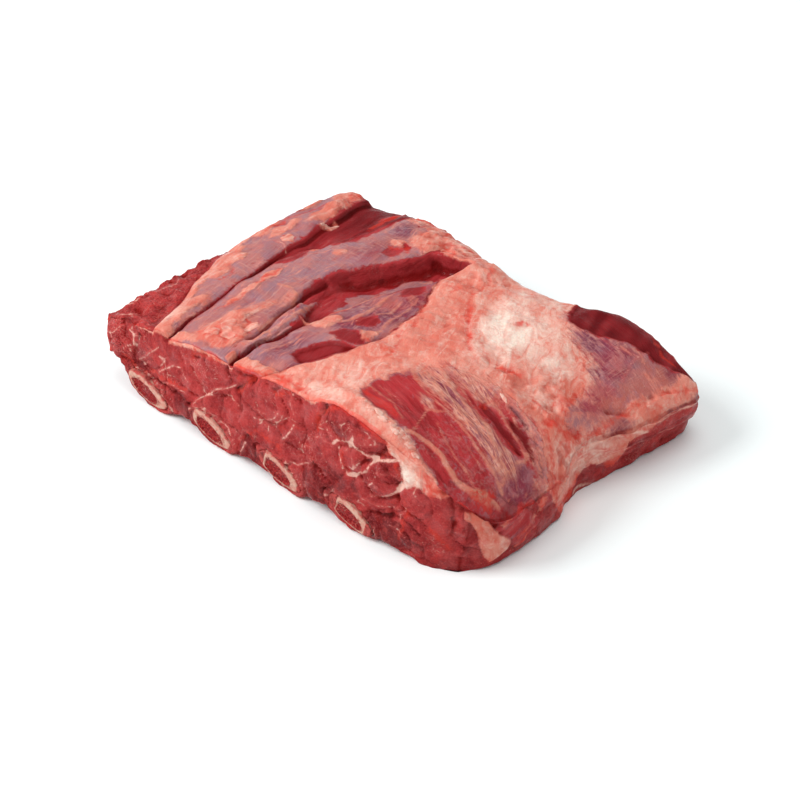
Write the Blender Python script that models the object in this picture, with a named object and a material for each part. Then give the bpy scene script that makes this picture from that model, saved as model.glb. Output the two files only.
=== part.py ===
"""Raw beef chuck short rib: a four-rib plate of meat with the bones in it.

The plate lies bone side down.  +X runs across the ribs along the cut front
face, +Y runs along the ribs from the front cut to the back cut, and +Z is up.
The origin is on the board under the middle of the plate.

The sizes below are in millimetres.  The meat is a grid block that the
function carve() turns into the plate: a rounded outline, a domed top with its
strips, slots and pocket, leaning cut faces and a scalloped underside.  The
ribs are bars that run right through from cut to cut, each in its own channel.
"""

import bpy
import bmesh
import math
import numpy as np

MM = 0.001

# Plate
HALF_LENGTH = 131.5
HALF_DEPTH = 94.0
CORNER_RADII = {(1, -1): 27.0, (1, 1): 14.0, (-1, 1): 10.0, (-1, -1): 5.0}
FRONT_LEAN = 4.0
BACK_LEAN = 2.0

# Height of the top over a net of places: rows from front to back, columns
# from the thin left end to the right side
TOP_HEIGHTS = (
    (40.0, 47.0, 52.0, 56.0, 60.5, 68.0, 55.0, 38.0),
    (41.0, 48.5, 53.0, 57.5, 61.0, 64.0, 56.0, 37.0),
    (40.0, 48.0, 52.0, 55.5, 58.0, 59.0, 51.0, 34.0),
    (40.0, 47.0, 50.0, 53.0, 54.0, 54.0, 46.0, 32.0),
    (40.0, 45.0, 47.0, 49.0, 49.0, 50.0, 47.0, 33.0),
    (36.0, 42.5, 42.0, 40.0, 38.5, 44.0, 43.5, 30.0),
)

# Outline, as stations along a side and how far the edge lies from the middle
RIGHT_STATIONS = (-94.0, -60.0, -25.0, 5.0, 22.0, 50.0, 94.0)
RIGHT_REACH = (126.0, 127.0, 126.0, 117.5, 121.5, 128.0, 131.3)
LEFT_STATIONS = (-94.0, -75.0, -48.0, -20.0, 10.0, 45.0, 94.0)
LEFT_REACH = (131.5, 128.5, 131.3, 130.5, 128.5, 129.0, 128.0)
LEFT_UNDERCUT = 4.0
RIGHT_UNDERCUT = (6.0, 2.0, 2.0, 3.0, 5.0, 8.0, 8.0)
FRONT_STATIONS = (-128.0, -60.0, 0.0, 60.0, 90.0, 110.0, 128.0)
FRONT_REACH = (93.2, 93.5, 93.6, 93.4, 90.3, 89.3, 87.0)
BACK_STATIONS = (-128.0, -70.0, -25.0, 15.0, 60.0, 105.0, 128.0)
BACK_REACH = (93.0, 93.4, 93.4, 93.4, 93.4, 93.2, 91.0)
BACK_DIP = (0.0, 0.0, 3.0, 7.0, 1.5, 2.0, 2.0)

# Lines between the strips of the top, as x at these stations along y
LINE_STATIONS = (-94.0, -63.0, -28.0, 7.0, 42.0, 94.0)
STRIP_1_LEFT = (-89.5, -99.5, -118.5, -131.5, -137.0, -147.0)
STRIP_1_RIGHT = (-79.5, -84.5, -92.0, -99.5, -105.5, -114.5)
STRIP_2_LEFT = (-74.5, -77.5, -83.5, -82.0, -75.5, -73.5)
STRIP_2_RIGHT = (-34.5, -38.5, -49.5, -58.5, -45.5, -36.0)
STRIP_4_LEFT = (-28.5, -27.5, -24.5, -23.5, -12.5, -4.0)
FAT_LEFT = (-2.5, 5.5, 12.5, 6.5, -8.5, -18.0)
VALLEY_RIDGE = (-84.0, -84.0, -84.0, -84.0, -84.5, -86.0)
STRIP_DOME = 2.2
SLOT_DEPTH = 6.5
VALLEY_DEPTH = 6.0
RIDGE_HEIGHT = 3.0
POCKET_DEPTH = 13.0
POCKET_END = 66.0
FAT_STEP = 2.4
LENS_CENTRE = (-1.0, -55.0)
LENS_HALF = (7.0, 20.0)
LENS_DEPTH = 2.5

# Window of lean meat in the fat of the right front quarter
WINDOW_CENTRE = (81.0, -50.0)
WINDOW_HALF = (45.0, 31.0)
WINDOW_DEPTH = 3.0

# Ribs
RIB_COUNT = 4
RIB_FIRST = -93.0
RIB_PITCH = 48.2
RIB_HALF = (15.0, 6.3)
RIB_TILT = -17.0
RIB_CENTRE_HEIGHT = 9.2
RIB_REACH = 94.0
RIB_SLANT = (1.5, 0.5, -1.0, -2.5)
RIB_GAP = 0.3
RIB_SIDES = 24

# Underside
SCALLOP_RISE = 6.5
SCALLOP_SHIFT = 5.0
LAND_CUT = 0.8
LEFT_LIFT = 16.0

# Grid of the block and the share of its faces that is kept
GRID_STEP = 2.3
SIDE_LAYERS = 22
FACES_KEPT = 0.125


def ease(t):
    """Smooth step from 0 to 1 while t goes from 0 to 1."""
    t = np.clip(t, 0.0, 1.0)
    return t * t * (3.0 - 2.0 * t)


def hump(t):
    """Smooth hump: 1 at t = 0, 0 where t is -1 or 1 and beyond."""
    return ease(1.0 - np.abs(t))


def line(stations, values, at):
    """Smooth line through the values at the stations (cubic pieces)."""
    s = np.asarray(stations, float)
    v = np.asarray(values, float)
    slope = np.gradient(v, s)
    i = np.clip(np.searchsorted(s, at) - 1, 0, len(s) - 2)
    h = s[i + 1] - s[i]
    q = np.clip((at - s[i]) / h, 0.0, 1.0)
    start = (1.0 + 2.0 * q) * (1.0 - q) ** 2 * v[i] + q * (1.0 - q) ** 2 * h * slope[i]
    end = q * q * (3.0 - 2.0 * q) * v[i + 1] + q * q * (q - 1.0) * h * slope[i + 1]
    return start + end


def spline_weights(t):
    """Weights of four neighbours on a smooth line, t from 0 to 1 between the middle two."""
    return (
        -0.5 * t + t * t - 0.5 * t ** 3,
        1.0 - 2.5 * t * t + 1.5 * t ** 3,
        0.5 * t + 2.0 * t * t - 1.5 * t ** 3,
        -0.5 * t * t + 0.5 * t ** 3,
    )


def top_form(x, y):
    """Height of the plain domed top: the net of heights, smoothed both ways."""
    net = np.array(TOP_HEIGHTS)
    rows, columns = net.shape
    u = np.clip((x / HALF_LENGTH + 1.0) / 2.0, 0.0, 0.99999) * (columns - 1)
    v = np.clip((y / HALF_DEPTH + 1.0) / 2.0, 0.0, 0.99999) * (rows - 1)
    i = u.astype(int)
    j = v.astype(int)
    height = np.zeros_like(x)
    for b, wv in enumerate(spline_weights(v - j)):
        row = np.clip(j + b - 1, 0, rows - 1)
        for a, wu in enumerate(spline_weights(u - i)):
            height += wv * wu * net[row, np.clip(i + a - 1, 0, columns - 1)]
    return height


def swell(x, y, z, length, seed):
    """Gentle lumps about one length across: eight plane waves in set directions."""
    source = np.random.default_rng(seed)
    total = np.zeros_like(x)
    for _ in range(8):
        way = source.normal(size=3)
        way *= 2.0 * math.pi / (length * source.uniform(0.8, 1.5) * np.linalg.norm(way))
        total += np.sin(way[0] * x + way[1] * y + way[2] * z + source.uniform(0.0, 6.28))
    return total / 4.0


def between(x, left, right):
    """Place across a strip: -1 on its left line, 1 on its right line."""
    return (2.0 * x - left - right) / np.maximum(right - left, 1.0)


def dome(t):
    """Round back of a strip: 1 along its middle and falling to 0 at its lines."""
    return 1.0 - np.clip(np.abs(t), 0.0, 1.0) ** 3.0


def top_relief(x, y):
    """Strips, slots, valley, pocket, fat step and lean window on the domed top."""
    s1_left = line(LINE_STATIONS, STRIP_1_LEFT, y)
    s1_right = line(LINE_STATIONS, STRIP_1_RIGHT, y)
    s2_left = line(LINE_STATIONS, STRIP_2_LEFT, y)
    s2_right = line(LINE_STATIONS, STRIP_2_RIGHT, y)
    s4_left = line(LINE_STATIONS, STRIP_4_LEFT, y)
    fat_left = line(LINE_STATIONS, FAT_LEFT, y)
    ridge = line(LINE_STATIONS, VALLEY_RIDGE, y)

    relief = STRIP_DOME * dome(between(x, s1_left, s1_right)) - 0.8
    relief += STRIP_DOME * dome(between(x, s2_left, s2_right))
    relief += 0.7 * STRIP_DOME * dome(between(x, s4_left, fat_left)) * ease((50.0 - y) / 20.0)

    # Slot between the first two strips, widening into a valley at the back
    across = between(x, s1_right - 1.5, s2_left + 1.5)
    depth = SLOT_DEPTH + (VALLEY_DEPTH - SLOT_DEPTH) * ease((y + 5.0) / 20.0)
    depth *= 0.45 + 0.55 * ease((y + 92.0) / 14.0)
    relief -= depth * (1.0 - np.clip(np.abs(across), 0.0, 1.0) ** 2.5)
    relief += RIDGE_HEIGHT * hump((x - ridge) / 8.0) * ease((y - 16.0) / 16.0)

    # Slot that opens into the deep pocket under the fat
    opening = s4_left - 5.5 + (s2_right - s4_left + 5.5) * ease((y + 45.0) / 22.0)
    across = between(x, opening - 1.0, s4_left + 1.0)
    depth = 5.0 + (POCKET_DEPTH - 5.0) * ease((y + 35.0) / 60.0)
    depth *= (0.4 + 0.6 * ease((y + 92.0) / 14.0)) * ease((POCKET_END - y) / 9.0)
    relief -= depth * (1.0 - np.clip(np.abs(across), 0.0, 1.0) ** 3.0)

    # Shallow lens of lean in the last strip
    away = np.hypot((x - LENS_CENTRE[0] - 0.3 * (y - LENS_CENTRE[1])) / LENS_HALF[0],
                    (y - LENS_CENTRE[1]) / LENS_HALF[1])
    relief -= LENS_DEPTH * ease((1.1 - away) / 0.35)

    # Fat cap, thicker round the end of the pocket, and its front rim
    relief += FAT_STEP * ease((x - fat_left + 3.0) / 8.0)
    lip = np.hypot((x + 14.0) / 17.0, (y - 66.0) / 14.0)
    relief += 3.0 * ease(1.6 - lip)
    away = (np.abs((x - WINDOW_CENTRE[0]) / WINDOW_HALF[0]) ** 2.6
            + np.abs((y - WINDOW_CENTRE[1]) / WINDOW_HALF[1]) ** 2.6) ** (1.0 / 2.6)
    relief -= WINDOW_DEPTH * ease((1.05 - away) / 0.16)
    relief -= 1.4 * ease((x - 60.0 - 0.5 * (62.0 - y)) / 20.0) * ease((y - 8.0) / 12.0)

    # Roll of the meat down to the right side and of the fat to the back
    right = line(RIGHT_STATIONS, RIGHT_REACH, y)
    fall = 9.0 - 6.0 * ease((y - 2.0) / 20.0)
    width = 16.0 - 7.0 * ease((y - 2.0) / 20.0)
    relief -= fall * (1.0 - ease((right - x) / width)) ** 1.5
    back = line(BACK_STATIONS, BACK_REACH, x) - line(BACK_STATIONS, BACK_DIP, x)
    fall = 3.0 + 7.0 * ease((x + 30.0) / 20.0) * ease((70.0 - x) / 20.0)
    relief -= fall * (1.0 - ease((back - y) / 15.0)) ** 1.5
    return relief


def top_surface(x, y):
    """Height of the finished top."""
    lumps = 0.7 * swell(x, y, 0.0 * x, 26.0, 3) + 0.35 * swell(x, y, 0.0 * x, 13.0, 4)
    return top_form(x, y) + top_relief(x, y) + lumps


def rib_line(x, y):
    """Distance across the ribs from the nearest rib's middle, drawn to its slant."""
    slant = np.interp(x, [RIB_FIRST + RIB_PITCH * i for i in range(RIB_COUNT)], RIB_SLANT)
    phase = (x - slant * y / HALF_DEPTH - RIB_FIRST - SCALLOP_SHIFT) / RIB_PITCH
    return phase


def under_surface(x, y):
    """Underside: a wave that sags under each rib, cut flat where it meets the board."""
    phase = rib_line(x, y)
    wave = 0.5 - 0.5 * np.cos(2.0 * math.pi * phase)
    rise = SCALLOP_RISE * (1.0 - 0.6 * ease((phase - 3.0) / 0.5))
    height = rise * wave
    height += LEFT_LIFT * ease((RIB_FIRST - 9.0 - x) / 20.0)
    height += 0.4 * swell(x, y, 0.0 * x, 22.0, 5) * ease((height - 1.2) / 2.0)
    return np.maximum(height - LAND_CUT, 0.0)


def carve(a, b, w):
    """Place of a grid point: a and b run from -1 to 1 in plan, w from 0 to 1 in height."""
    x = a * HALF_LENGTH
    y = b * HALF_DEPTH
    for (sx, sy), radius in CORNER_RADII.items():
        p = (sx * x - HALF_LENGTH + radius) / radius
        q = (sy * y - HALF_DEPTH + radius) / radius
        inside = (p > 0.0) & (q > 0.0)
        px = p * np.sqrt(np.clip(1.0 - q * q / 2.0, 0.0, 1.0))
        qy = q * np.sqrt(np.clip(1.0 - p * p / 2.0, 0.0, 1.0))
        x = np.where(inside, sx * (HALF_LENGTH - radius + radius * px), x)
        y = np.where(inside, sy * (HALF_DEPTH - radius + radius * qy), y)

    right = line(RIGHT_STATIONS, RIGHT_REACH, y)
    right -= line(RIGHT_STATIONS, RIGHT_UNDERCUT, y) * (1.0 - ease(w * 1.3))
    left = line(LEFT_STATIONS, LEFT_REACH, y) - LEFT_UNDERCUT * (1.0 - ease(w * 1.6))
    front = line(FRONT_STATIONS, FRONT_REACH, x) - FRONT_LEAN * w * (1.0 - 0.5 * ease(x / 100.0))
    back = line(BACK_STATIONS, BACK_REACH, x) - BACK_LEAN * w
    back -= line(BACK_STATIONS, BACK_DIP, x) * ease(w * 1.4 - 0.3)
    x = np.where(x > 0.0, x * right / HALF_LENGTH, x * left / HALF_LENGTH)
    y = np.where(y > 0.0, y * back / HALF_DEPTH, y * front / HALF_DEPTH)

    low = under_surface(x, y)
    z = low + w * (top_surface(x, y) - low)
    edge = ease((np.maximum(np.abs(a), np.abs(b)) - 0.9) / 0.1)
    push = 0.8 * swell(x, y, z, 24.0, 7) * edge * ease(w * 3.0) * ease((1.0 - w) * 6.0)
    x = x + np.where(np.abs(a) > 0.97, np.sign(a) * push, 0.0)
    y = y + np.where(np.abs(b) > 0.97, np.sign(b) * np.minimum(push, 0.4), 0.0)
    return x, y, z


def make_material(name, colour, roughness):
    material = bpy.data.materials.new(name)
    material.use_nodes = True
    shader = material.node_tree.nodes["Principled BSDF"]
    shader.inputs["Base Color"].default_value = (*colour, 1.0)
    shader.inputs["Roughness"].default_value = roughness
    shader.inputs["Metallic"].default_value = 0.0
    return material


def make_collection(name):
    collection = bpy.data.collections.new(name)
    bpy.context.scene.collection.children.link(collection)
    return collection


def make_block(name, collection, material):
    """Grid block: a flat grid drawn up into layers, then carved point by point."""
    bm = bmesh.new()
    columns = int(2.0 * HALF_LENGTH / GRID_STEP)
    rows = int(2.0 * HALF_DEPTH / GRID_STEP)
    bmesh.ops.create_grid(bm, x_segments=columns, y_segments=rows, size=1.0)
    drawn = bmesh.ops.extrude_face_region(bm, geom=bm.faces[:], use_keep_orig=True)
    raised = [v for v in drawn["geom"] if isinstance(v, bmesh.types.BMVert)]
    bmesh.ops.translate(bm, verts=raised, vec=(0.0, 0.0, 1.0))
    for layer in range(1, SIDE_LAYERS):
        bmesh.ops.bisect_plane(
            bm,
            geom=bm.verts[:] + bm.edges[:] + bm.faces[:],
            plane_co=(0.0, 0.0, layer / SIDE_LAYERS),
            plane_no=(0.0, 0.0, 1.0),
        )
    bmesh.ops.recalc_face_normals(bm, faces=bm.faces[:])
    mesh = bpy.data.meshes.new(name)
    bm.to_mesh(mesh)
    bm.free()
    grid = np.empty(len(mesh.vertices) * 3)
    mesh.vertices.foreach_get("co", grid)
    grid = grid.reshape(-1, 3)
    placed = np.stack(carve(grid[:, 0], grid[:, 1], grid[:, 2]), axis=1) * MM
    mesh.vertices.foreach_set("co", placed.ravel())
    mesh.update()
    mesh.materials.append(material)
    block = bpy.data.objects.new(name, mesh)
    collection.objects.link(block)
    return block


def make_bar(name, collection, index, grow, reach):
    """Rib: an oval carried along a slightly bowed line from cut to cut."""
    profile = bpy.data.curves.new(name + "_profile", "CURVE")
    profile.dimensions = "2D"
    oval = profile.splines.new("POLY")
    oval.points.add(RIB_SIDES - 1)
    for k in range(RIB_SIDES):
        angle = 2.0 * math.pi * k / RIB_SIDES
        squeeze = 1.0 - 0.12 * math.cos(angle)
        px = (RIB_HALF[0] + grow) * math.cos(angle)
        py = (RIB_HALF[1] + grow) * math.sin(angle) * squeeze
        tilt = math.radians(RIB_TILT)
        across = px * math.cos(tilt) - py * math.sin(tilt)
        upward = px * math.sin(tilt) + py * math.cos(tilt)
        oval.points[k].co = (across * MM, upward * MM, 0.0, 1.0)
    oval.use_cyclic_u = True
    profile_object = bpy.data.objects.new(name + "_profile", profile)
    collection.objects.link(profile_object)

    path = bpy.data.curves.new(name + "_path", "CURVE")
    path.dimensions = "3D"
    path.bevel_mode = "OBJECT"
    path.bevel_object = profile_object
    path.use_fill_caps = True
    path.twist_mode = "Z_UP"
    run = path.splines.new("POLY")
    stops = [-reach] + [HALF_DEPTH * k / 3.0 for k in range(-2, 3)] + [reach]
    run.points.add(len(stops) - 1)
    for k, y in enumerate(stops):
        t = y / HALF_DEPTH
        middle = RIB_FIRST + RIB_PITCH * index
        bow = 1.2 * (1.0 - t * t) * (1.0 if index < 2 else -1.0)
        x = middle + RIB_SLANT[index] * t + bow
        run.points[k].co = (x * MM, y * MM, RIB_CENTRE_HEIGHT * MM, 1.0)
    path_object = bpy.data.objects.new(name + "_path", path)
    collection.objects.link(path_object)

    graph = bpy.context.evaluated_depsgraph_get()
    mesh = bpy.data.meshes.new_from_object(path_object.evaluated_get(graph))
    mesh.name = name
    bm = bmesh.new()
    bm.from_mesh(mesh)
    bmesh.ops.remove_doubles(bm, verts=bm.verts[:], dist=0.00002)
    for vert in bm.verts:
        if abs(abs(vert.co.y) - reach * MM) < 0.0015:
            vert.co.y = math.copysign(reach * MM, vert.co.y)
    bmesh.ops.recalc_face_normals(bm, faces=bm.faces[:])
    bm.to_mesh(mesh)
    bm.free()
    mesh.materials.clear()
    bar = bpy.data.objects.new(name, mesh)
    collection.objects.link(bar)
    bpy.data.objects.remove(path_object, do_unlink=True)
    bpy.data.objects.remove(profile_object, do_unlink=True)
    return bar


def main():
    for old in list(bpy.data.objects):
        bpy.data.objects.remove(old, do_unlink=True)

    part = make_collection("beef_chuck_short_rib")
    cutters = make_collection("cutters")
    meat_material = make_material("raw_meat", (0.36, 0.045, 0.04), 0.35)
    bone_material = make_material("rib_bone", (0.62, 0.30, 0.24), 0.5)

    meat = make_block("meat", part, meat_material)
    thin = meat.modifiers.new("Thin", "DECIMATE")
    thin.ratio = FACES_KEPT

    for index in range(RIB_COUNT):
        bone = make_bar(f"rib_bone_{index + 1}", part, index, 0.0, RIB_REACH)
        bone.data.materials.append(bone_material)
        for face in bone.data.polygons:
            face.use_smooth = len(face.vertices) == 4
        channel = make_bar(f"channel_{index + 1}", cutters, index, RIB_GAP, RIB_REACH + 12.0)
        channel.hide_render = True
        channel.display_type = "WIRE"
        cut = meat.modifiers.new(f"Channel {index + 1}", "BOOLEAN")
        cut.operation = "DIFFERENCE"
        cut.solver = "EXACT"
        cut.object = channel


main()
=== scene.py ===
"""Looks of a raw beef chuck short rib: the plate of meat, its ribs and the loose bits on it.

Lengths in the tables are millimetres in the part's own frame: +X across the
ribs along the cut front, +Y along the ribs, +Z up from the board.
"""

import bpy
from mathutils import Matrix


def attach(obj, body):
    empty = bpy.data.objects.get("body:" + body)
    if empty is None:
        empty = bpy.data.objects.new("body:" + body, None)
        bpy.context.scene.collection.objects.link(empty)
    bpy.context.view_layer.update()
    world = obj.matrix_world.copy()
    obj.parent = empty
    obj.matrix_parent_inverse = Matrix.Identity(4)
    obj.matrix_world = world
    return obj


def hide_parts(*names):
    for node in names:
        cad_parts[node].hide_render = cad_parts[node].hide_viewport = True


bl_info = {
    "name": "Beef Chuck Short Rib",
    "version": (1, 0, 0),
    "blender": (4, 5, 0),
    "location": "View3D > Sidebar > Short Rib",
    "description": "Builds the meat, the ribs, the lumps of fat and the stage of a raw chuck short rib",
    "category": "Add Mesh",
}

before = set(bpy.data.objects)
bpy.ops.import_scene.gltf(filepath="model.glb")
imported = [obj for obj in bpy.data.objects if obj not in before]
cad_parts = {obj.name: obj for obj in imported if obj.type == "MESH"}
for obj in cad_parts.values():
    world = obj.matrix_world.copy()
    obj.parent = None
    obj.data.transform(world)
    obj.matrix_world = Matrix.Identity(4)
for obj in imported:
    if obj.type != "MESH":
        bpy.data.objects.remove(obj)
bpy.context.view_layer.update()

import math

import bpy
import numpy as np
from bpy.props import FloatProperty, FloatVectorProperty, IntProperty, PointerProperty
from mathutils import Color, Vector

MM = 0.001
FAR = 9.0  # stands in for a signed distance where there is nothing near

# ---------------------------------------------------------------- plate form
HALF_LENGTH = 131.5
HALF_DEPTH = 94.0
CORNER_RADII = {(1, -1): 27.0, (1, 1): 14.0, (-1, 1): 10.0, (-1, -1): 5.0}
FRONT_LEAN = 4.0
BACK_LEAN = 2.0
TOP_HEIGHTS = (
    (40.0, 47.0, 52.0, 56.0, 60.5, 68.0, 55.0, 38.0),
    (41.0, 48.5, 53.0, 57.5, 61.0, 64.0, 56.0, 37.0),
    (40.0, 48.0, 52.0, 55.5, 58.0, 59.0, 51.0, 34.0),
    (40.0, 47.0, 50.0, 53.0, 54.0, 54.0, 46.0, 32.0),
    (40.0, 45.0, 47.0, 49.0, 49.0, 50.0, 47.0, 33.0),
    (36.0, 42.5, 42.0, 40.0, 38.5, 44.0, 43.5, 30.0),
)
RIGHT_STATIONS = (-94.0, -60.0, -25.0, 5.0, 22.0, 50.0, 94.0)
RIGHT_REACH = (126.0, 127.0, 126.0, 117.5, 121.5, 128.0, 131.3)
RIGHT_UNDERCUT = (6.0, 2.0, 2.0, 3.0, 5.0, 8.0, 8.0)
LEFT_STATIONS = (-94.0, -75.0, -48.0, -20.0, 10.0, 45.0, 94.0)
LEFT_REACH = (131.5, 128.5, 131.3, 130.5, 128.5, 129.0, 128.0)
LEFT_UNDERCUT = 4.0
FRONT_STATIONS = (-128.0, -60.0, 0.0, 60.0, 90.0, 110.0, 128.0)
FRONT_REACH = (93.2, 93.5, 93.6, 93.4, 90.3, 89.3, 87.0)
BACK_STATIONS = (-128.0, -70.0, -25.0, 15.0, 60.0, 105.0, 128.0)
BACK_REACH = (93.0, 93.4, 93.4, 93.4, 93.4, 93.2, 91.0)
BACK_DIP = (0.0, 0.0, 3.0, 7.0, 1.5, 2.0, 2.0)

# Lines between the strips of the top, as x at these stations along y
LINE_STATIONS = (-94.0, -63.0, -28.0, 7.0, 42.0, 94.0)
LINES = {
    "s1_left": (-89.5, -99.5, -118.5, -131.5, -137.0, -147.0),
    "s1_right": (-79.5, -84.5, -92.0, -99.5, -105.5, -114.5),
    "s2_left": (-77.5, -82.0, -89.5, -91.0, -79.0, -77.5),
    "s2_right": (-34.5, -38.5, -49.5, -58.5, -45.5, -36.0),
    "s4_left": (-32.0, -31.5, -27.5, -23.5, -12.5, -4.0),
    "fat_left": (-13.0, 0.0, 8.5, 2.5, -14.0, -22.0),
    "ridge": (-81.0, -81.0, -81.0, -81.0, -81.0, -82.0),
}
STRIP_DOME = 2.2
POCKET_DEPTH = 13.0
POCKET_END = 66.0
FAT_SIDE = 26.0  # beyond this x only the window and the membrane interrupt the fat
MEMBRANE_SIDE = 50.0
CORNER_SIDE = 96.0  # beyond this x a wall belongs to the right side
FAT_STEP = 2.4

# Ribs and underside
RIB_COUNT = 4
RIB_FIRST = -93.0
RIB_PITCH = 48.2
RIB_HALF = (15.0, 6.3)
RIB_TILT = -17.0
RIB_CENTRE_HEIGHT = 9.2
RIB_SLANT = (1.5, 0.5, -1.0, -2.5)
# How much of each sawn end shows as bone: middle across, share of the length
RIB_SHOWN = ((0.0, 1.0), (0.4, 0.96), (1.4, 0.86), (0.2, 0.70))
# Rings of a sawn end, as shares of its oval, and the share that is spongy
RIB_RINGS = (0.0, 0.2, 0.38, 0.5, 0.58, 0.64, 0.70, 0.78, 0.88, 0.955, 0.99, 1.0)
SPONGE_SHARE = 0.62
SCALLOP_RISE = 6.5
SCALLOP_SHIFT = 5.0
LAND_CUT = 0.8
LEFT_LIFT = 16.0

# ------------------------------------------------------- regions of the top
# Closed outlines, as (x, y)
WINDOW_EDGE = (
    (45, -76), (40, -69), (39, -60), (41, -51), (45, -43), (49, -33), (57, -25), (68, -19), (80, -17), (94, -19),
    (106, -20), (117, -27), (125, -35), (132, -45), (133, -60), (130, -76), (122, -88),
    (110, -92), (104, -86), (96, -84), (86, -81), (77, -78), (66, -79), (54, -79),
)
LEAN_PATCH_2 = (
    (80, -29.5), (84, -27), (90, -27.5), (98, -30), (106, -31.5), (112, -33.5), (113, -37.5), (106, -38.5),
    (98, -36.5), (91, -34.5), (85, -34), (81, -32.5),
)
LEAN_PATCH_3 = (
    (92, -25.5), (96, -23), (101, -21.8), (108, -23), (114, -26.5), (119, -31), (117, -33), (111, -31),
    (104, -29.5), (97, -28),
)
MEMBRANE_EDGE = (
    (56, 60), (64, 57), (70, 51), (76, 48), (84, 49), (88, 45), (91, 39), (96, 36), (100, 29), (102, 21),
    (104, 11), (108, 3), (112, 4), (115, 14), (118, 20), (138, 18), (138, 98), (56, 98),
)
VALLEY_LEAN = (
    (-99, 4), (-96, -2), (-91, -4), (-86, -1), (-83, 6), (-84, 12), (-88, 18), (-93, 20), (-91, 25), (-85, 29),
    (-80, 30), (-78, 38), (-77, 50), (-78, 62), (-77, 80), (-78, 98), (-118, 98), (-110, 65), (-105, 40),
    (-101, 14),
)
LENS_EDGE = (
    (-13, -67), (-14, -60), (-11, -53), (-7, -46), (-2, -42), (3, -40), (7, -40), (5, -48), (2, -56), (-1, -64),
    (-4, -70), (-8, -69),
)
FINGER_EDGE = (
    (-39, -91), (-41, -80), (-42, -69), (-45, -50), (-48, -30), (-48, -13), (-43, -24), (-35, -40),
    (-36, -53), (-35, -69), (-37, -84),
)
FINGER_GROOVE = ((-41, -68), (-43, -56), (-46, -45), (-50, -32), (-53, -18), (-56, 0))
STRIP_2_LEAN = ((-53, 25), (-58, 15), (-60, 0), (-56, -14), (-50, -29), (-46, -31), (-53, -10), (-54, 10))
S4_LEAN = ((-14, -40), (-12, -32), (-4, -29), (4, -31), (8, -36), (2, -40), (-6, -42))
S4_REDS = (
    ((-14, -23), (-12, -15), (-7, -12), (-2, -14), (-1, -19), (-5, -22), (-10, -25)),
    ((-17, 33), (-12, 28), (-9, 22), (-12, 15), (-15, 13), (-19, 20), (-20, 27)),
    ((-37, 36), (-33, 30), (-28, 36), (-27, 44), (-29, 50), (-34, 46)),
)
TORN_FILM = (
    (-36, -14), (-37, -4), (-42, 3), (-43, 10), (-41, 17), (-38, 22), (-39, 30), (-37, 40), (-34, 48), (-29, 52),
    (-24, 42), (-22, 20), (-24, 0), (-28, -16),
)
VALLEY_TAG = ((-107, 43), (-104, 44), (-102, 48), (-103, 55), (-106, 57), (-105, 50))
STRIP_4_TAGS = (
    ((-38, -36), (-34, -31), (-24, -32), (-16, -32), (-17, -37), (-27, -40)),
    ((-4, -27), (-1, -23), (5, -26), (7, -32), (2, -33)),
)
MEMBRANE_GROOVE = ((113, 27), (120, 38), (120, 54))
MEMBRANE_FOLD = ((100, 50), (101, 66))
WINDOW_CREST = ((34, -78), (55, -81), (68, -83), (80, -85), (91, -87), (100, -86))
# The step down from the thin left strip into the slot beside it
STEP_STATIONS = (27.0, 41.0, 58.0, 80.0)
STEP_LINE = (-83.0, -83.0, -84.0, -86.0)
RIM_STATIONS = (46.0, 52.0, 56.0, 60.0, 66.0, 73.0, 80.0, 88.0, 96.0, 104.0, 110.0, 118.0, 126.0)
RIM_LINE = (84.0, 70.0, 62.5, 59.0, 57.5, 58.5, 61.5, 66.0, 70.0, 71.0, 74.0, 81.0, 86.0)

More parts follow.
